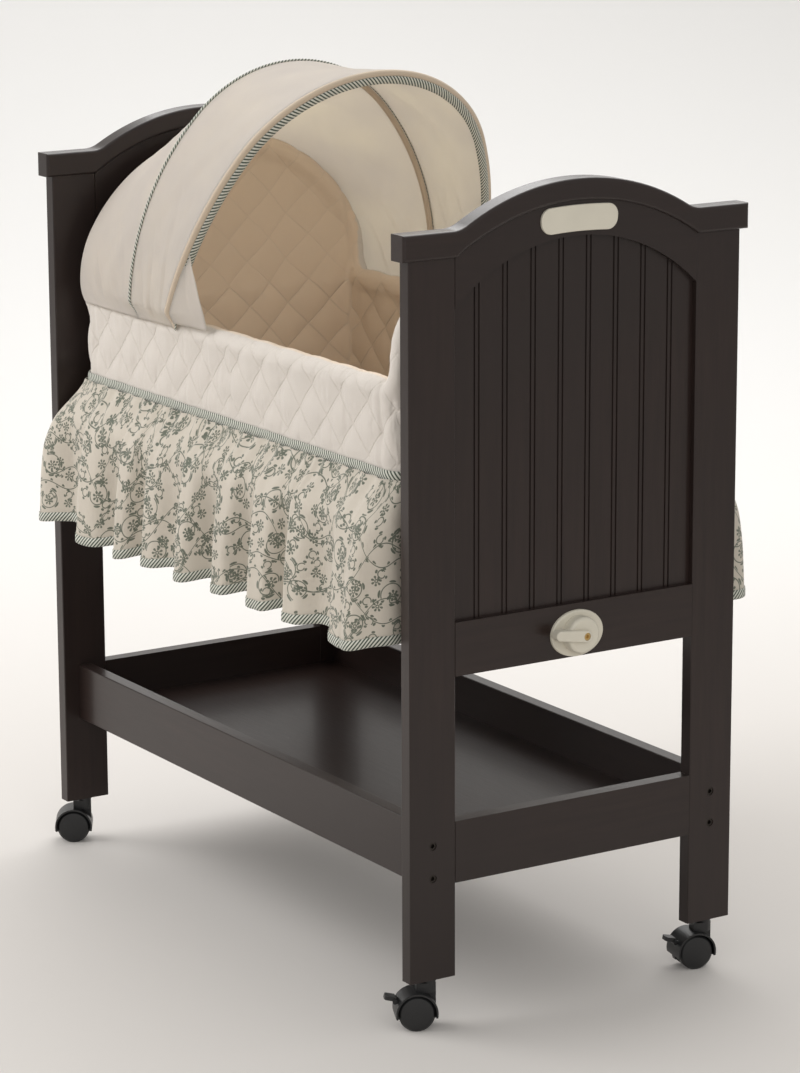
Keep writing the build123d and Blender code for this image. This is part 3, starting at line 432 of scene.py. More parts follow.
def wood_material(name, axis, gloss=0.26, shine=0.30, coat=0.16):
    """Espresso lacquer over fine grain that runs along one axis."""
    material, tree, shader = new_material(name)
    stretch = [9.0, 9.0, 9.0]
    stretch["XYZ".index(axis)] = 0.6
    vector = object_place(tree, stretch)
    grain = noise(tree, vector, 14.0, 6.0, 0.6)
    pores = noise(tree, vector, 60.0, 3.0, 0.7)
    cloud = noise(tree, object_place(tree), 3.0, 2.0)
    tone = mix_colour(tree, grain, (0.0130, 0.0082, 0.0072, 1), (0.034, 0.0205, 0.0170, 1))
    tone = mix_colour(tree, ramp(tree, cloud, 0.3, 0.7), tone, (0.021, 0.0140, 0.0122, 1))
    plug(tree, tone, shader.inputs["Base Color"])
    rough = calc(tree, "ADD", gloss, times(tree, pores, 0.12))
    plug(tree, rough, shader.inputs["Roughness"])
    shader.inputs["Specular IOR Level"].default_value = shine
    shader.inputs["Coat Weight"].default_value = coat
    shader.inputs["Coat Roughness"].default_value = 0.12
    bump(tree, shader, calc(tree, "ADD", grain, pores), 0.0003, 0.25)
    return material


def plastic_material(name, colour, roughness, grain=0.0001):
    """Moulded plastic with a fine texture and slight unevenness."""
    material, tree, shader = new_material(name)
    vector = object_place(tree)
    cloud = noise(tree, vector, 30.0, 3.0)
    plug(tree, uneven(tree, vector, colour, 30.0, share=0.88), shader.inputs["Base Color"])
    plug(tree, calc(tree, "MULTIPLY_ADD", cloud, 0.1, roughness), shader.inputs["Roughness"])
    bump(tree, shader, noise(tree, vector, 900.0, 2.0), grain, 0.3)
    return material


def metal_material(name, colour, roughness):
    """Plated or brushed metal."""
    material, tree, shader = new_material(name)
    vector = object_place(tree)
    cloud = noise(tree, vector, 60.0, 4.0)
    plug(tree, uneven(tree, vector, colour, 60.0, 4.0, 0.8), shader.inputs["Base Color"])
    plug(tree, calc(tree, "MULTIPLY_ADD", cloud, 0.15, roughness), shader.inputs["Roughness"])
    shader.inputs["Metallic"].default_value = 1.0
    return material


def cloth_finish(tree, shader, vector, pitch=0.0007):
    """Weave, small unevenness and fuzz that every cotton piece has: returns the bump."""
    shader.inputs["Roughness"].default_value = 0.85
    shader.inputs["Sheen Weight"].default_value = 0.25
    shader.inputs["Sheen Roughness"].default_value = 0.5
    crumple = noise(tree, vector, 38.0, 3.0, 0.55)
    under = bump(tree, shader, crumple, 0.0012, 0.25)
    return bump(tree, shader, weave_height(tree, vector, pitch), 0.00012, 0.5, under)


def cotton_material(name, colour, see_through=0.0, through=None):
    """Ivory cotton, with warm light that comes through where it is a single layer."""
    material, tree, shader = new_material(name)
    vector = object_place(tree)
    plug(tree, uneven(tree, vector, colour, 9.0), shader.inputs["Base Color"])
    cloth_finish(tree, shader, vector)
    if see_through:
        darker = tuple(0.93 * part for part in colour[:3]) + (1,)
        warm = mix_colour(tree, noise(tree, vector, 9.0, 3.0), darker, through)
        let_through(tree, shader, warm, see_through)
    return material


def stripe_material(name, pitch=0.0050, slant=0.9):
    """Sage and white stripes across a tape, slanted, on the tape's own UV map."""
    material, tree, shader = new_material(name)
    along, across = cloth_place(tree)[1:]
    place = calc(tree, "MULTIPLY_ADD", across, slant, along)
    turn = calc(tree, "FRACT", calc(tree, "DIVIDE", place, pitch))
    edge = calc(tree, "ABSOLUTE", less(tree, turn, 0.5))
    band = ramp(tree, edge, 0.19, 0.29)
    tone = mix_colour(tree, band, SAGE, SAGE_PALE)
    plug(tree, tone, shader.inputs["Base Color"])
    cloth_finish(tree, shader, object_place(tree))
    return material


def quilt_material():
    """Quilted ivory cotton: stitches run where the mesh's quilt attribute is a whole number."""
    material, tree, shader = new_material("quilted_cotton")
    vector = object_place(tree)
    place = add_node(tree, "Attribute", attribute_name="quilt").outputs["Vector"]
    across, other_way, strength = parts_of(tree, place)
    lining = add_node(tree, "Attribute", attribute_name="lining").outputs["Fac"]
    gaps = []
    for part in (across, other_way):
        turn = calc(tree, "FRACT", part)
        gap = less(tree, 0.5, calc(tree, "ABSOLUTE", less(tree, turn, 0.5)))
        gaps.append(gap)
    nearest = calc(tree, "MINIMUM", gaps[0], gaps[1])
    valley = less(tree, 1.0, ramp(tree, nearest, 0.0, 0.045))
    valley = times(tree, valley, strength)
    tone = uneven(tree, vector, IVORY, 9.0)
    # Painted warm light: the inside walls take a warmer colour than the outside
    tone = mix_colour(tree, lining, tone, INSIDE_PAINTED_WARMTH)
    # Painted shade: the valleys along the stitch lines are darkened, as if shaded
    tone = mix_colour(tree, times(tree, valley, 0.22), tone, PAINTED_STITCH_SHADE)
    plug(tree, tone, shader.inputs["Base Color"])
    under = cloth_finish(tree, shader, vector)
    pucker = noise(tree, vector, 110.0, 2.0)
    near = less(tree, 1.0, ramp(tree, nearest, 0.0, 0.16))
    pucker = times(tree, pucker, times(tree, near, strength))
    height = less(tree, times(tree, pucker, 0.8), valley)
    under = bump(tree, shader, height, 0.0011, 0.6, under)
    dents = ramp(tree, noise(tree, object_place(tree, (1, 1, 0.28)), 52.0, 2.0), 0.50, 0.72)
    outer = less(tree, 1.0, lining)
    dents = times(tree, dents, calc(tree, "MULTIPLY_ADD", outer, 0.8, 0.2))
    bump(tree, shader, times(tree, dents, -1.0), 0.0022, 0.5, under)
    return material


def cell(tree, vector, size, randomness, shift):
    """Voronoi cells: radius and angle about the cell's middle, and two random values of it."""
    place = {"Vector": vector, "Location": (shift, shift * 1.7, 0)}
    moved = add_node(tree, "Mapping", place).outputs[0]
    inputs = {"Vector": moved, "Scale": 1.0 / size, "Randomness": randomness}
    cells = add_node(tree, "TexVoronoi", inputs, voronoi_dimensions="2D").outputs
    local = {0: moved, 1: cells["Position"]}
    local = add_node(tree, "VectorMath", local, operation="SUBTRACT").outputs[0]
    radius = add_node(tree, "VectorMath", {0: local}, operation="LENGTH").outputs["Value"]
    across, up = parts_of(tree, local)[:2]
    chance = add_node(tree, "SeparateColor", {0: cells["Color"]}).outputs
    return radius, calc(tree, "ARCTAN2", up, across), chance[0], chance[1]


def line_mask(tree, distance, half_width):
    """1 on a line and 0 off it, with a soft edge."""
    spread = calc(tree, "ABSOLUTE", distance)
    return less(tree, 1.0, ramp(tree, spread, half_width * 0.6, half_width * 1.4))


def bulge(tree, distance, half_width):
    """1 - (d/w)^2, but never below 0: a smooth hump across a line."""
    share = calc(tree, "DIVIDE", distance, half_width)
    return calc(tree, "MAXIMUM", less(tree, 1.0, times(tree, share, share)), 0.0)


def wreaths(tree, vector, size, shift, reach, keep):
    """Round flowers of seven filled petals about an open heart, one in most cells."""
    radius, angle, chance, other = cell(tree, vector, size, 0.75, shift)
    turned = calc(tree, "ADD", angle, times(tree, chance, 6.28))
    petal = calc(tree, "COSINE", times(tree, turned, 7.0))
    petal = calc(tree, "MULTIPLY_ADD", petal, 0.5, 0.5)
    ring = bulge(tree, less(tree, radius, reach * 0.68), reach * 0.36)
    petal = ramp(tree, times(tree, petal, ring), 0.26, 0.42)
    heart = line_mask(tree, less(tree, radius, reach * 0.25), 0.0007)
    whole = calc(tree, "MAXIMUM", petal, heart)
    return times(tree, whole, ramp(tree, other, keep, keep + 0.02))


def curls(tree, vector, size, shift, reach, way):
    """Open curls: an arc whose radius shrinks with its turn, with leaves along its outside."""
    radius, angle, chance = cell(tree, vector, size, 0.7, shift)[:3]
    turned = calc(tree, "MULTIPLY_ADD", angle, way / (2 * math.pi), chance)
    turned = calc(tree, "FRACT", calc(tree, "ADD", turned, 1.0))
    path = calc(tree, "MULTIPLY_ADD", turned, -0.34 * reach, reach)
    gap = less(tree, radius, path)
    open_end = less(tree, 1.0, ramp(tree, turned, 0.84, 0.88))
    line = times(tree, line_mask(tree, gap, 0.0007), open_end)
    beat = calc(tree, "SINE", times(tree, turned, 2 * math.pi * 4.0))
    beat = calc(tree, "MULTIPLY_ADD", beat, 0.5, 0.5)
    leaf = times(tree, bulge(tree, less(tree, gap, 0.0026), 0.0026), beat)
    leaf = times(tree, ramp(tree, leaf, 0.62, 0.72), open_end)
    return calc(tree, "MAXIMUM", line, leaf)


def stems(tree, along, across, length, swing, row, shift, bend):
    """Long wavy stems in rows, with small leaves beside them."""
    turn = calc(tree, "MULTIPLY_ADD", along, 2 * math.pi / length, shift)
    wave = times(tree, calc(tree, "SINE", turn), swing)
    slope = calc(tree, "MULTIPLY_ADD", along, bend, wave)
    place = calc(tree, "DIVIDE", calc(tree, "ADD", across, slope), row)
    gap = less(tree, calc(tree, "FRACT", place), 0.5)
    gap = times(tree, gap, row)
    stem = line_mask(tree, gap, 0.0007)
    beat = calc(tree, "SINE", times(tree, along, 2 * math.pi / 0.019))
    side = less(tree, gap, times(tree, beat, 0.0032))
    leaf = times(tree, bulge(tree, side, 0.0030), calc(tree, "ABSOLUTE", beat))
    leaf = ramp(tree, leaf, 0.70, 0.80)
    return calc(tree, "MAXIMUM", stem, leaf)


def print_material():
    """Ivory cotton with a sage print of stems, curls and round flowers, on the UV map."""
    material, tree, shader = new_material("printed_cotton")
    vector = cloth_place(tree)[0]
    warp = add_node(tree, "TexNoise", {"Vector": vector, "Scale": 9.0, "Detail": 1.0})
    drift = {0: warp.outputs["Color"], 1: (0.020, 0.020, 0), 2: vector}
    bent = add_node(tree, "VectorMath", drift, operation="MULTIPLY_ADD").outputs[0]
    along, across = parts_of(tree, bent)[:2]
    marks = [
        wreaths(tree, bent, 0.027, 0.000, 0.0070, 0.25),
        wreaths(tree, bent, 0.052, 0.211, 0.0075, 0.00),
        curls(tree, bent, 0.052, 0.211, 0.0150, 1.0),
        curls(tree, bent, 0.031, 0.617, 0.0056, -1.0),
        stems(tree, along, across, 0.105, 0.0150, 0.066, 0.0, 0.38),
        stems(tree, along, across, 0.086, 0.0130, 0.071, 1.9, -0.45),
    ]
    ink = marks[0]
    for mark in marks[1:]:
        ink = calc(tree, "MAXIMUM", ink, mark)
    faded = calc(tree, "MULTIPLY_ADD", noise(tree, vector, 300.0), 0.24, 0.82)
    ink = times(tree, ink, faded)
    ground = uneven(tree, object_place(tree), PRINT_GROUND, 9.0, share=0.94)
    plug(tree, mix_colour(tree, ink, ground, PRINT_INK), shader.inputs["Base Color"])
    cloth_finish(tree, shader, object_place(tree))
    let_through(tree, shader, ground, 0.12)
    return material


# Padded basket

def perimeter_place(x, y):
    """Distance along the basket's outline, from the middle of an end, by nearest point."""
    straight_x = WALL_X - CORNER
    straight_y = WALL_Y - CORNER
    over_x = np.abs(x) - straight_x
    over_y = np.abs(y) - straight_y
    quarter = math.pi / 2 * CORNER
    at_corner = (over_x > 0) & (over_y > 0)
    angle = np.arctan2(np.maximum(over_y, 0), np.maximum(over_x, 1e-6))
    corner = straight_y + CORNER * angle
    side = straight_y + quarter + straight_x - np.abs(x)
    end = np.abs(y)
    nearer_end = (WALL_X - np.abs(x)) < (WALL_Y - np.abs(y))
    return np.where(at_corner, corner, np.where(nearer_end, end, side))


def arch_field(y, z):
    """Signed distance from the arch's line in the end's plane, negative inside it."""
    spring = RIM_Z + RIM_BEND
    across, up = arch_points(RIM_Y, CROWN_Z - spring, RIM_ARCH_SIDE, np.linspace(0, 0.5, 160))
    line = np.stack([across, up + spring], axis=1)
    flat_y = np.abs(y).ravel()
    flat_z = z.ravel()
    distance = np.full(flat_y.shape, 10.0)
    inside = np.zeros(flat_y.shape, dtype=bool)
    for start, end in zip(line[:-1], line[1:]):
        step = end - start
        share = (flat_y - start[0]) * step[0] + (flat_z - start[1]) * step[1]
        share = np.clip(share / (step @ step), 0, 1)
        gap_y = flat_y - start[0] - share * step[0]
        gap_z = flat_z - start[1] - share * step[1]
        distance = np.minimum(distance, np.hypot(gap_y, gap_z))
        inside |= (flat_y <= start[0]) & (flat_y > end[0]) & (flat_z < start[1] - 1e-9)
    below = flat_z < spring
    distance = np.where(below, np.abs(flat_y - RIM_Y), distance)
    under_line = flat_z < np.interp(flat_y, line[::-1, 0], line[::-1, 1])
    inside = np.where(below, flat_y < RIM_Y, inside | under_line)
    return np.where(inside, -distance, distance).reshape(y.shape)


def blend_min(first, second, soft):
    """Smooth union of two distance fields: the smaller, rounded over soft."""
    share = np.clip(0.5 + 0.5 * (second - first) / soft, 0, 1)
    return second + (first - second) * share - soft * share * (1 - share)


def rounded_box(x, y, half_x, half_y, corner):
    """Signed distance to a rounded rectangle."""
    over_x = np.abs(x) - (half_x - corner)
    over_y = np.abs(y) - (half_y - corner)
    outside = np.hypot(np.maximum(over_x, 0), np.maximum(over_y, 0))
    return outside + np.minimum(np.maximum(over_x, over_y), 0) - corner


def basket_field(x, y, z):
    """Distance field of the padded basket: walls, floor, arched ends and the roll on the rim."""
    outer = rounded_box(x, y, WALL_X, WALL_Y, CORNER)
    inner = rounded_box(x, y, ROOM_X, ROOM_Y, CORNER - 0.008)
    walls = np.maximum(np.maximum(outer, -inner), z - RIM_Z)
    walls = np.maximum(walls, FLOOR_Z - z)
    floor = np.maximum(outer, np.abs(z - FLOOR_Z - 0.003) - 0.003)
    field = np.minimum(walls, floor)
    arch = arch_field(y[0], z[0])[None, :, :]
    end_gap = np.abs(np.abs(x) - (WALL_X + ROOM_X) / 2) - (WALL_X - ROOM_X) / 2
    end_wall = np.maximum(np.maximum(end_gap, arch), RIM_Z - 0.02 - z)
    field = blend_min(field, end_wall, 0.004)
    arch_roll = np.sqrt(arch ** 2 + (np.abs(x) - RIM_X) ** 2) - ROLL
    arch_roll = np.where(z >= RIM_Z + RIM_BEND, arch_roll, 1.0)
    bend_x = RIM_X - RIM_BEND
    spring = RIM_Z + RIM_BEND
    bend_gap = np.abs(np.hypot(np.abs(x) - bend_x, z - spring) - RIM_BEND)
    top_gap = np.hypot(np.abs(x) - RIM_X, z - spring)
    rail_gap = np.where(np.abs(x) < bend_x, np.abs(z - RIM_Z), np.where(z < spring, bend_gap, top_gap))
    rail_roll = np.hypot(rail_gap, np.abs(y) - RIM_Y) - ROLL
    roll = np.minimum(arch_roll, rail_roll)
    return blend_min(field, roll, 0.006)


def quilt_lattice(place, height, diamond):
    """The two families of stitch lines: whole numbers of a/w + h/t and a/w - h/t."""
    return place / diamond[0] + height / diamond[1], place / diamond[0] - height / diamond[1]


def puff_height(first, second):
    """Padding between stitch lines: 0 on a line and 1 in a diamond's middle."""
    ridge = np.abs(np.sin(np.pi * first) * np.sin(np.pi * second))
    return np.sqrt(ridge)


def crease(distance, width):
    """1 on a seam, falling as a bell curve of that width."""
    return np.exp(-(distance / width) ** 2)


def padded_basket(material):
    """The whole padded basket: a distance field made a surface, then quilted along its normals."""
    low = np.array([-WALL_X - 0.012, -WALL_Y - 0.012, FLOOR_Z - 0.010])
    high = np.array([WALL_X + 0.012, WALL_Y + 0.012, CROWN_Z + ROLL + 0.010])
    axes = [np.arange(low[k], high[k], VOXEL) for k in range(3)]
    x, y, z = np.meshgrid(*axes, indexing="ij")
    field = basket_field(x, y, z)
    grid = openvdb.FloatGrid(3 * VOXEL)
    grid.copyFromArray(np.clip(field, -3 * VOXEL, 3 * VOXEL).astype(np.float32))
    points, quads = grid.convertToQuads(0.0)
    points = points * VOXEL + low
    middle = points[quads].mean(axis=1)
    hidden = rounded_box(middle[:, 0], middle[:, 1], ROOM_X, ROOM_Y, CORNER) < -0.004
    hidden &= (middle[:, 2] > FLOOR_Z + 0.003) & (middle[:, 2] < FLOOR_Z + 0.030)
    quads = quads[~hidden]
    mesh = bpy.data.meshes.new("padded_basket")
    mesh.from_pydata(points.tolist(), [], quads.tolist())
    normals = np.empty(len(points) * 3, dtype=np.float32)
    mesh.vertex_normals.foreach_get("vector", normals)
    normals = normals.reshape(-1, 3)
    probe = points + normals * 0.003
    rising = basket_field_at(probe) - basket_field_at(points)
    if np.median(rising) < 0:
        mesh.flip_normals()
        normals = -normals
    moved, quilt, inside = quilted(points, normals)
    moved[:, 0] += CENTRE_X
    mesh.vertices.foreach_set("co", moved.astype(np.float32).ravel())
    layer = mesh.attributes.new("quilt", "FLOAT_VECTOR", "POINT")
    layer.data.foreach_set("vector", quilt.astype(np.float32).ravel())
    lining = mesh.attributes.new("lining", "FLOAT", "POINT")
    lining.data.foreach_set("value", inside.astype(np.float32))
    mesh.update()
    thing = piece("padded_basket", mesh, material, "basket", ["basket_shell"])
    return thing


def basket_field_at(points):
    """The walls' field at loose points, enough to tell inside from outside."""
    x, y, z = points[:, 0], points[:, 1], points[:, 2]
    outer = rounded_box(x, y, WALL_X, WALL_Y, CORNER)
    inner = rounded_box(x, y, ROOM_X, ROOM_Y, CORNER - 0.008)
    chosen = (z > FLOOR_Z + 0.04) & (z < RIM_Z - 0.03)
    return np.where(chosen, np.maximum(outer, -inner), 0.0)


def quilted(points, normals):
    """Moves points along their normals by the quilting, the seams and small puckers."""
    x, y, z = points[:, 0], points[:, 1], points[:, 2]
    place = perimeter_place(x, y)
    outside = rounded_box(x, y, (WALL_X + ROOM_X) / 2, (WALL_Y + ROOM_Y) / 2, CORNER) > 0
    at_end = (np.abs(x) > RIM_X - 0.02) & (np.abs(y) < WALL_Y - 0.004)
    wander = 0.004 * waves(place * 1.0, 3, 4, 0.31) + 0.003 * waves(z * 1.0, 4, 3, 0.17)
    top = RIM_Z + ROLL
    band = quilt_lattice(place + wander, z - top, BAND_DIAMOND)
    lining = quilt_lattice(place + wander, z - top + 0.010, LINING_DIAMOND)
    use_band = outside & ~at_end
    on_roll = smooth_step(RIM_Z - 0.002, RIM_Z + 0.008, z)
    first = np.where(use_band, band[0], lining[0])
    second = np.where(use_band, band[1], lining[1])
    puff = puff_height(first, second)
    edge = smooth_step(WAIST_TOP - 0.004, WAIST_TOP + 0.012, z)
    inside_wall = ~outside & (z > FLOOR_Z + 0.02)
    edge = np.where(inside_wall, 1.0, edge)
    move = PUFF * edge * (puff - 0.55) * (1 - 0.6 * on_roll)
    seam = crease(np.abs(x) - (RIM_X - 0.028), 0.0035) * (outside & (z > WAIST_TOP))
    corner = np.hypot(np.abs(x) - ROOM_X + 0.006, np.abs(y) - ROOM_Y + 0.006)
    lining_seam = crease(corner, 0.006) * inside_wall
    band_zone = use_band & (z > WAIST_TOP - 0.002)
    towards_head = smooth_step(0.15, -0.35, x)
    pucker = waves(place, 9, 6, 0.019) * band_zone * (0.0004 + 0.0008 * towards_head)
    pucker *= smooth_step(WAIST_TOP, top, z) * 0.6 + 0.4
    move = move - 0.0028 * seam - 0.0045 * lining_seam + pucker
    strength = edge * (1 - 0.5 * on_roll)
    quilt = np.stack([first, second, strength], axis=1)
    return points + normals * move[:, None], quilt, inside_wall


# Skirt

def skirt_grid(columns, rows):
    """Gathered cloth: rings round the basket whose folds deepen from the waist to the hem.

    A point is the outline's point moved out by flare(t) + depth(t) wave(s), where t runs from
    the waist to the hem and s round the basket. The waist has three small gathers to each
    fold, and folds lean a little to one side as they fall.
    """
    distance = np.arange(columns) / columns
    girth = girth_of(WALL_X, WALL_Y, CORNER)
    s, t = np.meshgrid(distance, np.linspace(0, 1, rows), indexing="ij")
    drift = 0.012 * waves(s, 21, 4, 0.5) + 0.012 * waves(s, 22, 4, 0.14)
    turn = 2 * np.pi * FOLDS * (s + drift * 0.6)
    lean = 0.35 * waves(s, 23, 4, 0.2) * t
    size = 1.0 + 0.40 * waves(s, 24, 5, 0.16)
    fold = 1.25 * np.tanh(1.5 * (np.sin(turn + lean) + 0.28 * np.sin(2 * turn + 1.3 + 2 * lean)))
    gather = np.sin(3 * turn + 1.1 * waves(s, 25, 3, 0.09)) * (1 - smooth_step(0.0, 0.42, t))
    x, y, out_x, out_y = outline_at(s * girth, WALL_X, WALL_Y, CORNER)
    to_side = np.abs(out_y) ** 1.5
    flare_side = 0.0030 + 0.0330 * smooth_step(-0.05, 0.30, t) + 0.0120 * t
    flare_end = 0.0030 + 0.0050 * smooth_step(0.0, 0.4, t)
    deep_side = 0.0010 + 0.0150 * smooth_step(0.0, 0.75, t)
    deep_end = 0.0008 + 0.0030 * smooth_step(0.0, 0.75, t)
    flare = flare_end + (flare_side - flare_end) * to_side
    deep = deep_end + (deep_side - deep_end) * to_side
    out = flare + deep * fold * size / 1.2 + (0.0006 + 0.0016 * to_side) * gather
    out = np.maximum(out, 0.0012)
    swing = 0.35 * deep * np.cos(turn + lean)
    drop = SKIRT_TOP - SKIRT_HEM + 0.006 * waves(s, 26, 4, 0.33) + 0.003 * fold * size
    z = SKIRT_TOP - drop * t
    turned = np.abs(2 * out_x * out_y) * smooth_step(0.0, 0.5, t)
    px = CENTRE_X + x + out_x * out - out_y * swing + CORNER_FLARE[0] * np.sign(out_x) * turned
    py = y + out_y * out + out_x * swing + CORNER_FLARE[1] * np.sign(out_y) * turned
    return np.stack([px, py, z], axis=-1)


def printed_skirt(cloth, stripes):
    """Skirt and the striped binding on its hem."""
    columns, rows = 1080, 44
    grid = skirt_grid(columns, rows)
    hem = grid[:, -1]
    along = steps_along(np.concatenate([hem, hem[:1]]))
    across = np.linspace(0, SKIRT_TOP - SKIRT_HEM, rows)
    mesh = grid_mesh("printed_skirt", grid, along, across, closed=True, flip=True)
    skirt = piece("printed_skirt", mesh, cloth, "basket", ["skirt"])
    make_cloth(skirt, 0.0008)
    down = unit(grid[:, -1] - grid[:, -3])
    ahead = unit(np.roll(hem, -1, axis=0) - np.roll(hem, 1, axis=0))
    outward = np.cross(ahead, down)
    fold = np.array([
        (-0.0013, -0.0105), (-0.0015, -0.0050), (-0.0012, 0.0004), (0.0, 0.0014),
        (0.0012, 0.0004), (0.0015, -0.0050), (0.0013, -0.0105),
    ])
    tape = hem[:, None] + outward[:, None] * fold[None, :, :1] + down[:, None] * fold[None, :, 1:]
    tape_mesh = grid_mesh("hem_binding", tape, along, steps_along(fold), closed=True, flip=True)
    binding = piece("hem_binding", tape_mesh, stripes, "basket")
    make_cloth(binding, 0.0006)


def waist_binding(stripes):
    """Striped tape round the basket over the skirt's gathers: a low bulge in section."""
    columns, rows = 720, 9
    girth = girth_of(WALL_X, WALL_Y, CORNER)
    s, v = np.meshgrid(np.arange(columns) / columns, np.linspace(0, 1, rows), indexing="ij")
    x, y, out_x, out_y = outline_at(s * girth, WALL_X, WALL_Y, CORNER)
    out = 0.0012 + 0.0016 * np.sin(np.pi * v) ** 0.6 + 0.0005 * waves(s, 31, 6, 0.02) * (1 - v)
    z = WAIST_Z - 0.001 + v * (WAIST_TOP - WAIST_Z + 0.002) + 0.0008 * waves(s, 32, 5, 0.05)
    grid = np.stack([CENTRE_X + x + out_x * out, y + out_y * out, z], axis=-1)
    along = np.linspace(0, girth, columns + 1)
    across = np.linspace(0, WAIST_TOP - WAIST_Z, rows)
    mesh = grid_mesh("waist_binding", grid, along, across, closed=True)
    tape = piece("waist_binding", mesh, stripes, "basket", ["skirt_binding"])
    make_cloth(tape, 0.0010)


# Canopy

def taut(first, second, shares, sag, wrinkle):
    """Cloth between two lines of points: straight across, drawn in by sag at its middle."""
    t = shares[None, :, None]
    grid = first[:, None, :] * (1 - t) + second[:, None, :] * t
    hub = np.array([CENTRE_X - 0.2, 0.0, HOOP_Z])
    inward = hub - grid
    inward[..., 0] *= 0.15
    inward /= np.linalg.norm(inward, axis=-1)[..., None]
    belly = 4 * shares * (1 - shares)
    return grid + inward * (belly * sag)[None, :, None] + inward * wrinkle[..., None]


def drag_lines(marks, shares, seed, size):
    """Faint drag lines near the feet: waves across the gore that fade towards the crown."""
    s, t = np.meshgrid(marks, shares, indexing="ij")
    side = np.minimum(s, 1 - s)
    near_foot = np.exp(-(side / 0.13) ** 2)
    lines = waves(t + 2.4 * side, seed, 5, 0.33)
    broad = waves(s + 0.3 * t, seed + 1, 4, 0.35)
    fine = waves(s * 1.7 - 0.5 * t, seed + 2, 5, 0.12)
    return size * np.sin(np.pi * t) * (near_foot * lines + 0.5 * broad + 0.12 * fine)


def drawn_in(grid, seed=61, gathers=0.0009):
    """Canopy's lower edge pulled in against the padded roll, in small gathers.

    The distance from the middle falls to the roll's as 3t^2 - 2t^3 of the height, and the
    gathers are waves along the rim that grow with it.
    """
    x, y, z = grid[..., 0], grid[..., 1], grid[..., 2]
    share = 1.0 - smooth_step(HOOP_Z - HEM_DROP, HOOP_Z + 0.008, z)
    target = RIM_Y + ROLL + ROLL_CLEAR + gathers * (1 + waves(x + 0.2 * z, seed, 6, 0.021))
    reach = np.abs(y) * (1 - share) + target * share
    moved = np.sign(y) * np.minimum(np.abs(y), reach)
    return np.stack([x, moved, z], axis=-1)


def head_wrap(marks, target, turns):
    """Cloth laid over the head arch's roll, from its outer side to where it leaves for target.

    A point is C + R (sin(a) X + cos(a) N): C on the arch's line, N the line's outward normal.
    The last angle is that of the tangent to target, asin(R / D) - atan2(rise, run).
    """
    line = hoop_points(HEAD_ARCH, marks)
    spring = RIM_Z + RIM_BEND
    below = np.clip(spring - line[:, 2], 0.0, RIM_BEND)
    line[:, 0] += RIM_BEND - np.sqrt(RIM_BEND ** 2 - below ** 2)
    tangent = unit(np.gradient(line[:, 1:], axis=0))
    normal = np.stack([np.zeros(len(marks)), tangent[:, 1], -tangent[:, 0]], axis=1)
    outward = normal[:, 1] * line[:, 1] + normal[:, 2] * 0.01
    normal *= np.sign(outward)[:, None]
    radius = ROLL + ROLL_CLEAR
    gap = target - line
    run = gap[:, 0]
    rise = (gap * normal).sum(axis=1)
    last = np.arcsin(radius / np.hypot(run, rise)) - np.arctan2(rise, run)
    angle = WRAP_START * (1 - turns[None, :]) + last[:, None] * turns[None, :]
    ahead = np.array([1.0, 0.0, 0.0])
    around = np.sin(angle)[..., None] * ahead + np.cos(angle)[..., None] * normal[:, None, :]
    return line[:, None, :] + radius * around


def canopy_gores(cotton):
    """Rear gore from the padded head arch to the middle hoop, and front gore to the front hoop."""
    marks = np.linspace(0, 1, 221)
    shares = np.linspace(0, 1, 33)
    middle = hoop_points(MIDDLE_HOOP, marks, out=CLOTH_OUT)
    wrap = head_wrap(marks, middle, np.linspace(0, 1, 9))
    rear = taut(wrap[:, -1], middle, shares, 0.003, drag_lines(marks, shares, 41, 0.0042))
    rear = drawn_in(np.concatenate([wrap[:, :-1], rear], axis=1))
    along = steps_along(middle)
    mesh = grid_mesh("rear_gore", rear, along, steps_along(rear[110]))
    gore = piece("rear_gore", mesh, cotton, "basket", ["canopy_rear"])
    make_cloth(gore, 0.0006)
    front = hoop_points(FRONT_HOOP, marks, out=CLOTH_OUT)
    fore = drawn_in(taut(middle, front, shares, 0.004, drag_lines(marks, shares, 51, 0.0036)))
    mesh = grid_mesh("front_gore", fore, along, steps_along(fore[110]))
    gore = piece("front_gore", mesh, cotton, None, ["canopy_front"])
    make_cloth(gore, 0.0006)
    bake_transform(gore)


def hoop_strip(name, hoop, section, material, body, size, marks, low=-HEM_DROP):
    """Strip of cloth carried along a hoop: section lists (out, forward) of each row."""
    rings = [hoop_points(hoop, marks, out, forward, low) for out, forward in section]
    grid = drawn_in(np.stack(rings, axis=1), gathers=0.0004)
    along = steps_along(grid[:, 0])
    mesh = grid_mesh(name, grid, along, steps_along(np.asarray(section)))
    thing = piece(name, mesh, material, body)
    if size:
        make_cloth(thing, size)


def canopy_trims(stripes, casing):
    """Piping and casing on the middle hoop; turned-in facing and striped binding on the front."""
    marks = np.linspace(0, 1, 261)
    around = np.linspace(0, 2 * np.pi, 11)
    cord = [(CLOTH_OUT + 0.0010 + 0.0017 * math.sin(a), 0.0019 * math.cos(a)) for a in around]
    hoop_strip("middle_piping", MIDDLE_HOOP, cord, stripes, "basket", None, marks)
    # The casing and the facing use the darker cotton: painted shade.
    sleeve = [(0.0035 * math.sin(a), 0.0036 * math.cos(a)) for a in around]
    hoop_strip("middle_casing", MIDDLE_HOOP, sleeve, casing, "basket", 0.0005, marks,
               0.012)
    facing = [
        (CLOTH_OUT, 0.000), (CLOTH_OUT, 0.0022), (0.0044, 0.0040), (0.0020, 0.0050), (-0.0016, 0.0055),
    ]
    hoop_strip("front_facing", FRONT_HOOP, facing, casing, "front_hoop", 0.0008, marks)
    band = [
        (-0.0002, 0.0058), (-0.0024, 0.0070), (-0.0058, 0.0076), (-0.0092, 0.0070), (-0.0108, 0.0054),
    ]
    hoop_strip("front_binding", FRONT_HOOP, band, stripes, "front_hoop", 0.0012, marks)


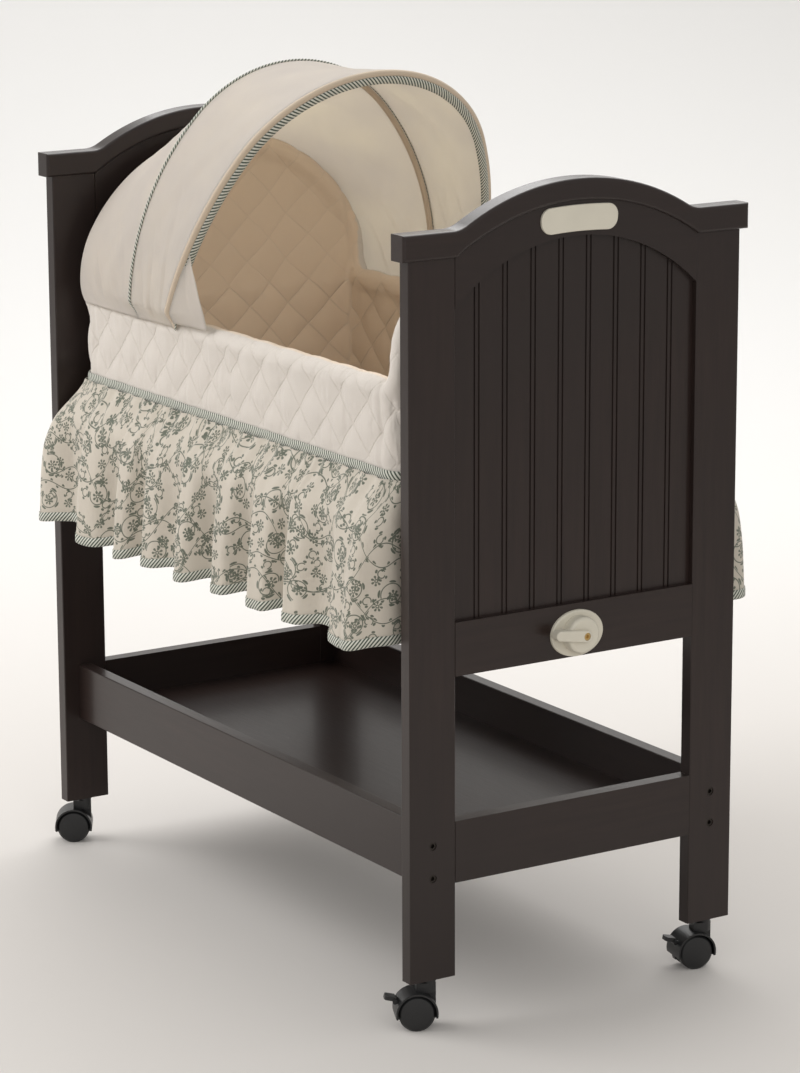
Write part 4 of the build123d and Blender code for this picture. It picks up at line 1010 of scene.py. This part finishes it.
def gusset(name, side, cotton):
    """Small side flap in front of the front hoop's leg: from the leg to a curved free edge."""
    marks = np.linspace(0, 1, 31)
    shares = np.linspace(0, 1, 15)
    lean = math.radians(FRONT_HOOP["lean"])
    up = -0.012 + marks * 0.112
    leg_x = FRONT_HOOP["x"] + up * math.sin(lean) + 0.004
    leg_z = HOOP_Z + up * math.cos(lean)
    radius = FRONT_HOOP["side"] + CLOTH_OUT
    risen = np.maximum(up - FRONT_HOOP["foot"], 0.0)
    leg_y = FRONT_HOOP["half"] + CLOTH_OUT - 0.004 - radius + np.sqrt(radius ** 2 - risen ** 2)
    edge_x = CENTRE_X - 0.046 - 0.038 * marks ** 1.5
    edge_z = HOOP_Z - 0.009 + 0.098 * marks
    t, s = np.meshgrid(shares, marks, indexing="xy")
    x = leg_x[:, None] * (1 - t) + edge_x[:, None] * t
    z = leg_z[:, None] * (1 - t) + edge_z[:, None] * t
    crumple = 0.0012 * waves(t * 0.5 + s * 0.3, 71, 4, 0.4)
    bow = 0.004 * np.sin(np.pi * t) * s + 0.014 * t * (1 - s) + crumple
    y = leg_y[:, None] - bow
    grid = np.stack([x, side * y, z], axis=-1)
    grid = drawn_in(grid, 63)
    mesh = grid_mesh(name, grid, marks * 0.11, shares * 0.09, flip=side > 0)
    thing = piece(name, mesh, cotton, "basket")
    make_cloth(thing, 0.0008)
    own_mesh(thing)


# Mattress

def mattress_pad(material):
    """Crowned pad: rings of the outline, drawn in by the profile from its base to its crown."""
    half_x = (mattress_high[0] - mattress_low[0]) / 2
    half_y = mattress_high[1]
    thick = mattress_high[2] - mattress_low[2]
    profile = np.array([
        (0.180, 0.0), (0.060, 0.0), (0.012, 0.001), (0.003, 0.004), (0.0010, 0.010), (0.0025, 0.018),
        (0.0010, 0.027), (0.0040, 0.033), (0.012, 0.0365), (0.030, 0.0390), (0.060, 0.0405),
        (0.100, 0.0415), (0.140, 0.0420), (0.180, 0.0422),
    ])
    profile[:, 1] *= thick / 0.0422
    columns = 360
    rings = []
    for draw, height in profile:
        corner = max(0.021 - draw, 0.002)
        inset_x = half_x - draw
        inset_y = half_y - draw
        distance = np.arange(columns) / columns * girth_of(inset_x, inset_y, corner)
        x, y = outline_at(distance, inset_x, inset_y, corner)[:2]
        z = np.full(columns, mattress_low[2] + height)
        rings.append(np.stack([CENTRE_X + x, y, z], axis=-1))
    grid = np.stack(rings, axis=1)
    along = np.linspace(0, 2.2, columns + 1)
    mesh = grid_mesh("mattress_pad", grid, along, steps_along(profile), closed=True)
    first_row = np.arange(columns) * len(profile)
    last_row = first_row + len(profile) - 1
    closed = bpy.data.meshes.new("mattress_pad_closed")
    faces = [list(face.vertices) for face in mesh.polygons]
    faces += [first_row.tolist()[::-1], last_row.tolist()]
    closed.from_pydata(grid.reshape(-1, 3).tolist(), [], faces)
    thing = piece("mattress_pad", closed, material, "basket", ["mattress"])


# Finishes of the CAD nodes

def finish_frame():
    """Gives every node that shows its finish."""
    wood = {axis: wood_material("espresso_wood_" + axis, axis) for axis in "XYZ"}
    shelf_wood = wood_material("espresso_shelf", "X", 0.24, 0.16, 0.06)
    cream = plastic_material("cream_plastic", (0.70, 0.655, 0.545, 1), 0.38)
    black = plastic_material("black_plastic", (0.011, 0.011, 0.0115, 1), 0.34, 0.00015)
    zinc = metal_material("zinc_plate", (0.55, 0.55, 0.54, 1), 0.32)
    dark_bolt = metal_material("dark_bolt", (0.055, 0.048, 0.043, 1), 0.30)
    brass = metal_material("brass", (0.62, 0.43, 0.18, 1), 0.25)
    board = wood_material("base_board", "X", 0.6)
    chosen = {
        "cream_plastic": cream, "black_plastic": black, "zinc_steel": zinc, "brass": brass,
        "painted_tube": cream, "base_board": board,
    }
    grain = {"post": "Z", "bead_panel": "Z", "side_board": "X", "crest": "Y", "arch": "Y", "rail": "Y"}
    slots = {part["node"]: part["material_slot"] for part in frame["record"]["subparts"]}
    for name, node in frame["nodes"].items():
        slot = slots[name]
        material = chosen.get(slot)
        if slot == "espresso_wood":
            axis = next((way for word, way in grain.items() if word in name), "X")
            material = shelf_wood if name == "shelf_panel" else wood[axis]
        if name == "frame_bolts":
            material = dark_bolt
        if material:
            node.data.materials.clear()
            node.data.materials.append(material)


# Studio

def studio():
    """Pale floor that curves up behind, soft lamps, and the camera of the photograph."""
    away = np.array([-math.sin(VIEW_AZIMUTH), math.cos(VIEW_AZIMUTH)])
    floor_material, tree, shader = new_material("pale_floor")
    place = {0: object_place(tree), 1: (away[0], away[1], 1.0)}
    reach = add_node(tree, "VectorMath", place, operation="DOT_PRODUCT").outputs["Value"]
    # Painted light: the floor grows lighter away from the camera towards the backdrop, and glows a
    # little, more so further back
    share = ramp(tree, reach, 0.2, 3.6)
    tone = mix_colour(tree, share, (0.62, 0.59, 0.56, 1), (0.78, 0.77, 0.755, 1))
    plug(tree, tone, shader.inputs["Base Color"])
    shader.inputs["Emission Color"].default_value = (1.0, 0.985, 0.965, 1)
    plug(tree, calc(tree, "MULTIPLY_ADD", share, 0.055, 0.035), shader.inputs["Emission Strength"])
    shader.inputs["Roughness"].default_value = 0.9
    shader.inputs["Specular IOR Level"].default_value = 0.1
    side = np.array([math.cos(VIEW_AZIMUTH), math.sin(VIEW_AZIMUTH)])
    bend = np.linspace(0, WALL_BEND, 25)
    depth = np.concatenate([[FLOOR_START], WALL_AT - WALL_BEND + bend, [WALL_AT]])
    curve = WALL_BEND - np.sqrt(np.maximum(WALL_BEND ** 2 - bend ** 2, 0))
    rise = np.concatenate([[0.0], curve, [WALL_HEIGHT]])
    grid = np.zeros((2, len(depth), 3))
    for row, across in enumerate((-WALL_HALF, WALL_HALF)):
        grid[row, :, :2] = away[None, :] * depth[:, None] + side[None, :] * across
        grid[row, :, 2] = rise
    mesh = grid_mesh("studio_floor", grid, np.array([0.0, 2 * WALL_HALF]), depth)
    floor = bpy.data.objects.new("studio_floor", mesh)
    mesh.materials.append(floor_material)
    mesh.polygons.foreach_set("use_smooth", np.ones(len(mesh.polygons), dtype=bool))
    bpy.context.scene.collection.objects.link(floor)
    world = bpy.data.worlds.new("studio_light")
    world.use_nodes = True
    world.node_tree.nodes["Background"].inputs[0].default_value = (1.0, 0.99, 0.97, 1)
    world.node_tree.nodes["Background"].inputs[1].default_value = 0.58
    bpy.context.scene.world = world
    lamps = [
        ("window", (-1.6, -2.4, 2.5), 2.8, 76.0),
        ("overhead", (-1.4, 1.4, 3.0), 3.2, 78.0),
        ("front_fill", (3.2, -1.2, 2.0), 2.2, 22.0),
    ]
    for name, place, size, power in lamps:
        light = bpy.data.lights.new(name, "AREA")
        light.size = size
        light.energy = power
        lamp = bpy.data.objects.new(name, light)
        lamp.location = place
        lamp.rotation_euler = (Vector((0, 0, 0.5)) - Vector(place)).to_track_quat("-Z", "Y").to_euler()
        bpy.context.scene.collection.objects.link(lamp)
    level = math.cos(VIEW_ELEVATION)
    back = Vector((math.sin(VIEW_AZIMUTH) * level, -math.cos(VIEW_AZIMUTH) * level,
                   math.sin(VIEW_ELEVATION)))
    right = Vector((math.cos(VIEW_AZIMUTH), math.sin(VIEW_AZIMUTH), 0))
    up = back.cross(right)
    turned_right = right * math.cos(VIEW_ROLL) + up * math.sin(VIEW_ROLL)
    turned_up = up * math.cos(VIEW_ROLL) - right * math.sin(VIEW_ROLL)
    lens = bpy.data.cameras.new("photo_camera")
    lens.sensor_width = SENSOR
    lens.sensor_fit = "AUTO"
    lens.lens = FOCAL_PIXELS / PICTURE_HEIGHT * SENSOR
    lens.clip_end = 50.0
    camera = bpy.data.objects.new("photo_camera", lens)
    turn = Matrix((turned_right, turned_up, back)).transposed().to_4x4()
    camera.matrix_world = Matrix.Translation(Vector(VIEW_PLACE)) @ turn
    bpy.context.scene.collection.objects.link(camera)
    bpy.context.scene.camera = camera
    bpy.context.scene.view_settings.view_transform = "Standard"


def build():
    """Every finish and piece, in the order of the parts above."""
    stripes = stripe_material("striped_binding")
    cotton = cotton_material("canopy_cotton", CANOPY, 0.56, THROUGH)
    finish_frame()
    padded_basket(quilt_material())
    mattress_pad(cotton_material("mattress_cotton", IVORY))
    printed_skirt(print_material(), stripes)
    waist_binding(stripes)
    canopy_gores(cotton)
    canopy_trims(stripes, cotton_material("shaded_casing_cotton", CASING_PAINTED_SHADE))
    gusset("gusset_near", -1, cotton)
    gusset("gusset_far", 1, cotton)
    studio()


build()
